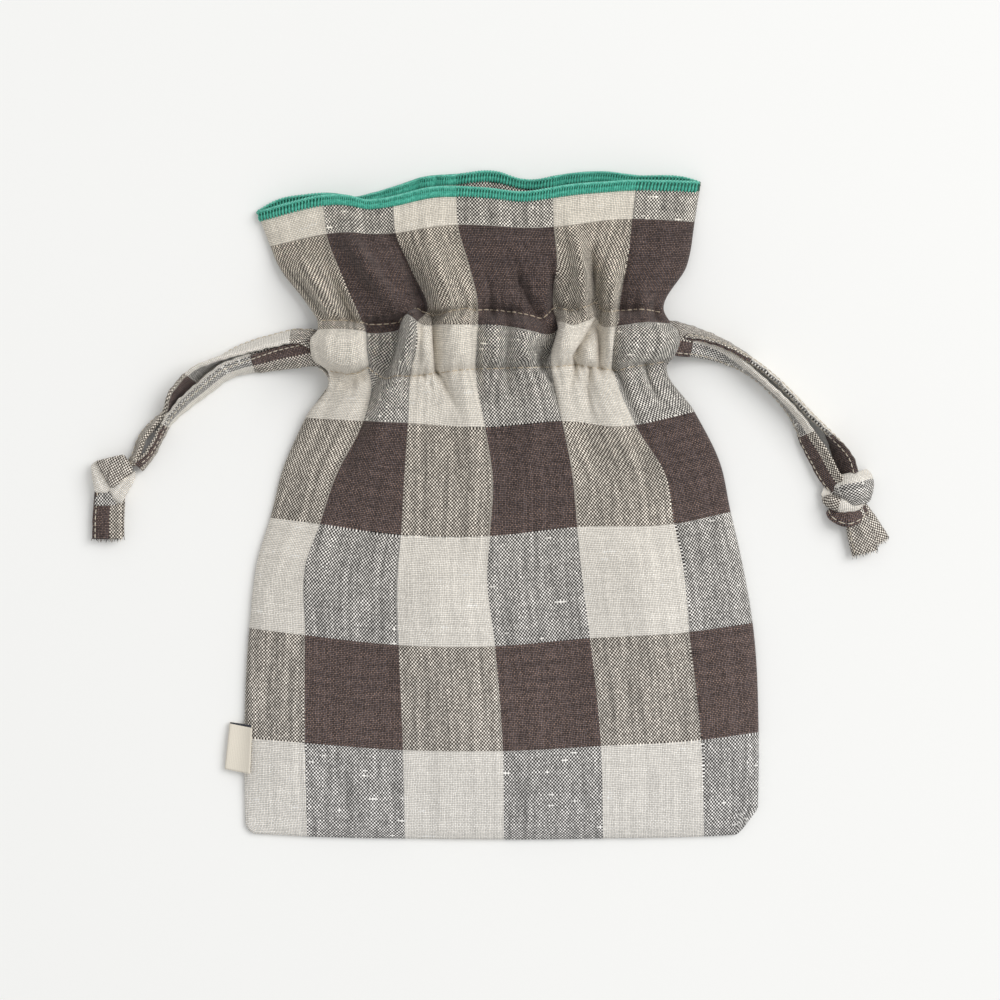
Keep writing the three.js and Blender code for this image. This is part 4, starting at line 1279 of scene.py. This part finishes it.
# The corners of each leaf in the picture: inner and outer at its top, then at its bottom.
upper_corners = [[(252, 728), (230, 723.5)], [(249.5, 774), (225, 769)]]
lower_corners = [[(252, 725), (230, 722)], [(249.5, 774), (225, 769)]]
LEAF_ROWS, LEAF_COLUMNS = 24, 16
label_material, shader, start = new_material("label_ribbon", roughness=0.75, sheen=0.15)
label_place = start.node("ShaderNodeAttribute", {"attribute_name": "cloth"}, {}, "Vector")
rib = (label_place.part(1) * RIB_TURNS).math("SINE") * 0.5 + 0.5
ply = (label_place.part(0) * PLY_TURNS).math("SINE") * 0.5 + 0.5
grain = start.noise(label_place, LABEL_GRAIN, 3.0, "3D")
# The ribs are painted lighter where they stand highest and darker between them: painted light and
# shade of the relief that the bump also draws.
level = LABEL_LEVEL + rib * ply * RIB_LIGHT_AND_SHADE + (grain - 0.5) * LABEL_UNEVEN
colour = grain.tint(paint(238, 229, 212), paint(244, 237, 223)).dims(level)
finish_material(start, shader, colour, rib * ply, depth=0.08, strength=0.5)
# The label's inner faces are dark navy; at the top edge, where the leaves part, this dark colour
# also stands in for the shade between them, as painted shade.
label_dark_inside_and_shade = thread_material("label_dark_inside_and_shade", paint(70, 72, 80), paint(42, 44, 52), TWIST)
out, down = np.meshgrid(np.linspace(0, 1, LEAF_COLUMNS), np.linspace(0, 1, LEAF_ROWS))


def leaf(corners, heights):
    """One half of the label, spread between its corners in the picture."""
    top, bottom = np.array(corners, float)
    inner = top[0] + (bottom[0] - top[0]) * down[..., None]
    outer = top[1] + (bottom[1] - top[1]) * down[..., None]
    return seen(inner + (outer - inner) * out[..., None], heights)


UPPER_LEAF, LOWER_LEAF = 2.1, 1.3
UPPER_CURL, LOWER_CURL = 0.5, 0.15
SEAM_RISE = 3.2
LEAVES_PARTED = 0.7
curl = np.sin(down * np.pi) * out
over_seam = SEAM_RISE * (1 - out) ** 3
parted = LEAVES_PARTED * np.sqrt(np.clip(1 - out, 0, 1)) * out
upper_leaf = leaf(upper_corners, UPPER_LEAF + over_seam + UPPER_CURL * curl + parted)
lower_leaf = leaf(lower_corners, LOWER_LEAF + over_seam + LOWER_CURL * curl)
label_points = np.concatenate([upper_leaf, lower_leaf[:, ::-1]], axis=1)
label_u = np.linspace(0, LABEL_LENGTH, 2 * LEAF_COLUMNS)
label_cloth = Cloth(label_points, label_u, np.linspace(0, LABEL_WIDTH, LEAF_ROWS))
label = sheet_piece("folded_label", label_cloth, (0, 0), label_material)
label.modifiers["thickness"].thickness = LABEL_THICKNESS * METRES
label.modifiers["thickness"].material_offset = 1
label.data.materials.append(label_dark_inside_and_shade)
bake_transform(label)
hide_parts("side_label")

# Floor and light. A pale, even surface under soft studio light that comes mainly from the upper
# right, so that shadows are faint and fall to the left and below.
FLOOR_HALF = 4000
FLOOR_HEIGHT = -0.05
FLOOR_GRAIN = 3.0
floor_material, shader, start = new_material("pale_floor", roughness=0.85, sheen=0.0)
floor_place = start.node("ShaderNodeTexCoord", {}, {}, "Object")
grain = start.noise(floor_place, FLOOR_GRAIN, 2.0, "3D")
colour = grain.tint(paint(250, 250, 248), paint(252, 252, 250))
finish_material(start, shader, colour, grain, depth=0.01, strength=0.05)
floor_x, floor_y = np.array([-1, 1, 1, -1]) * FLOOR_HALF, np.array([-1, -1, 1, 1]) * FLOOR_HALF
floor_corners = np.stack([floor_x, floor_y, np.full(4, FLOOR_HEIGHT)], 1)
floor = add_piece("floor", floor_corners, [[0, 1, 2, 3]], [floor_material])

world = bpy.data.worlds.new("studio")
bpy.context.scene.world = world
world.use_nodes = True
background = world.node_tree.nodes["Background"]
background.inputs["Color"].default_value = (1.0, 1.0, 1.0, 1.0)
background.inputs["Strength"].default_value = 0.6
lamp_data = bpy.data.lights.new("window", "AREA")
lamp_data.size = 3.0
lamp_data.energy = 107
lamp = bpy.data.objects.new("window", lamp_data)
lamp.location = (2.7, 1.3, 3.1)
lamp.rotation_euler = lamp.location.to_track_quat("Z", "Y").to_euler()
bpy.context.collection.objects.link(lamp)
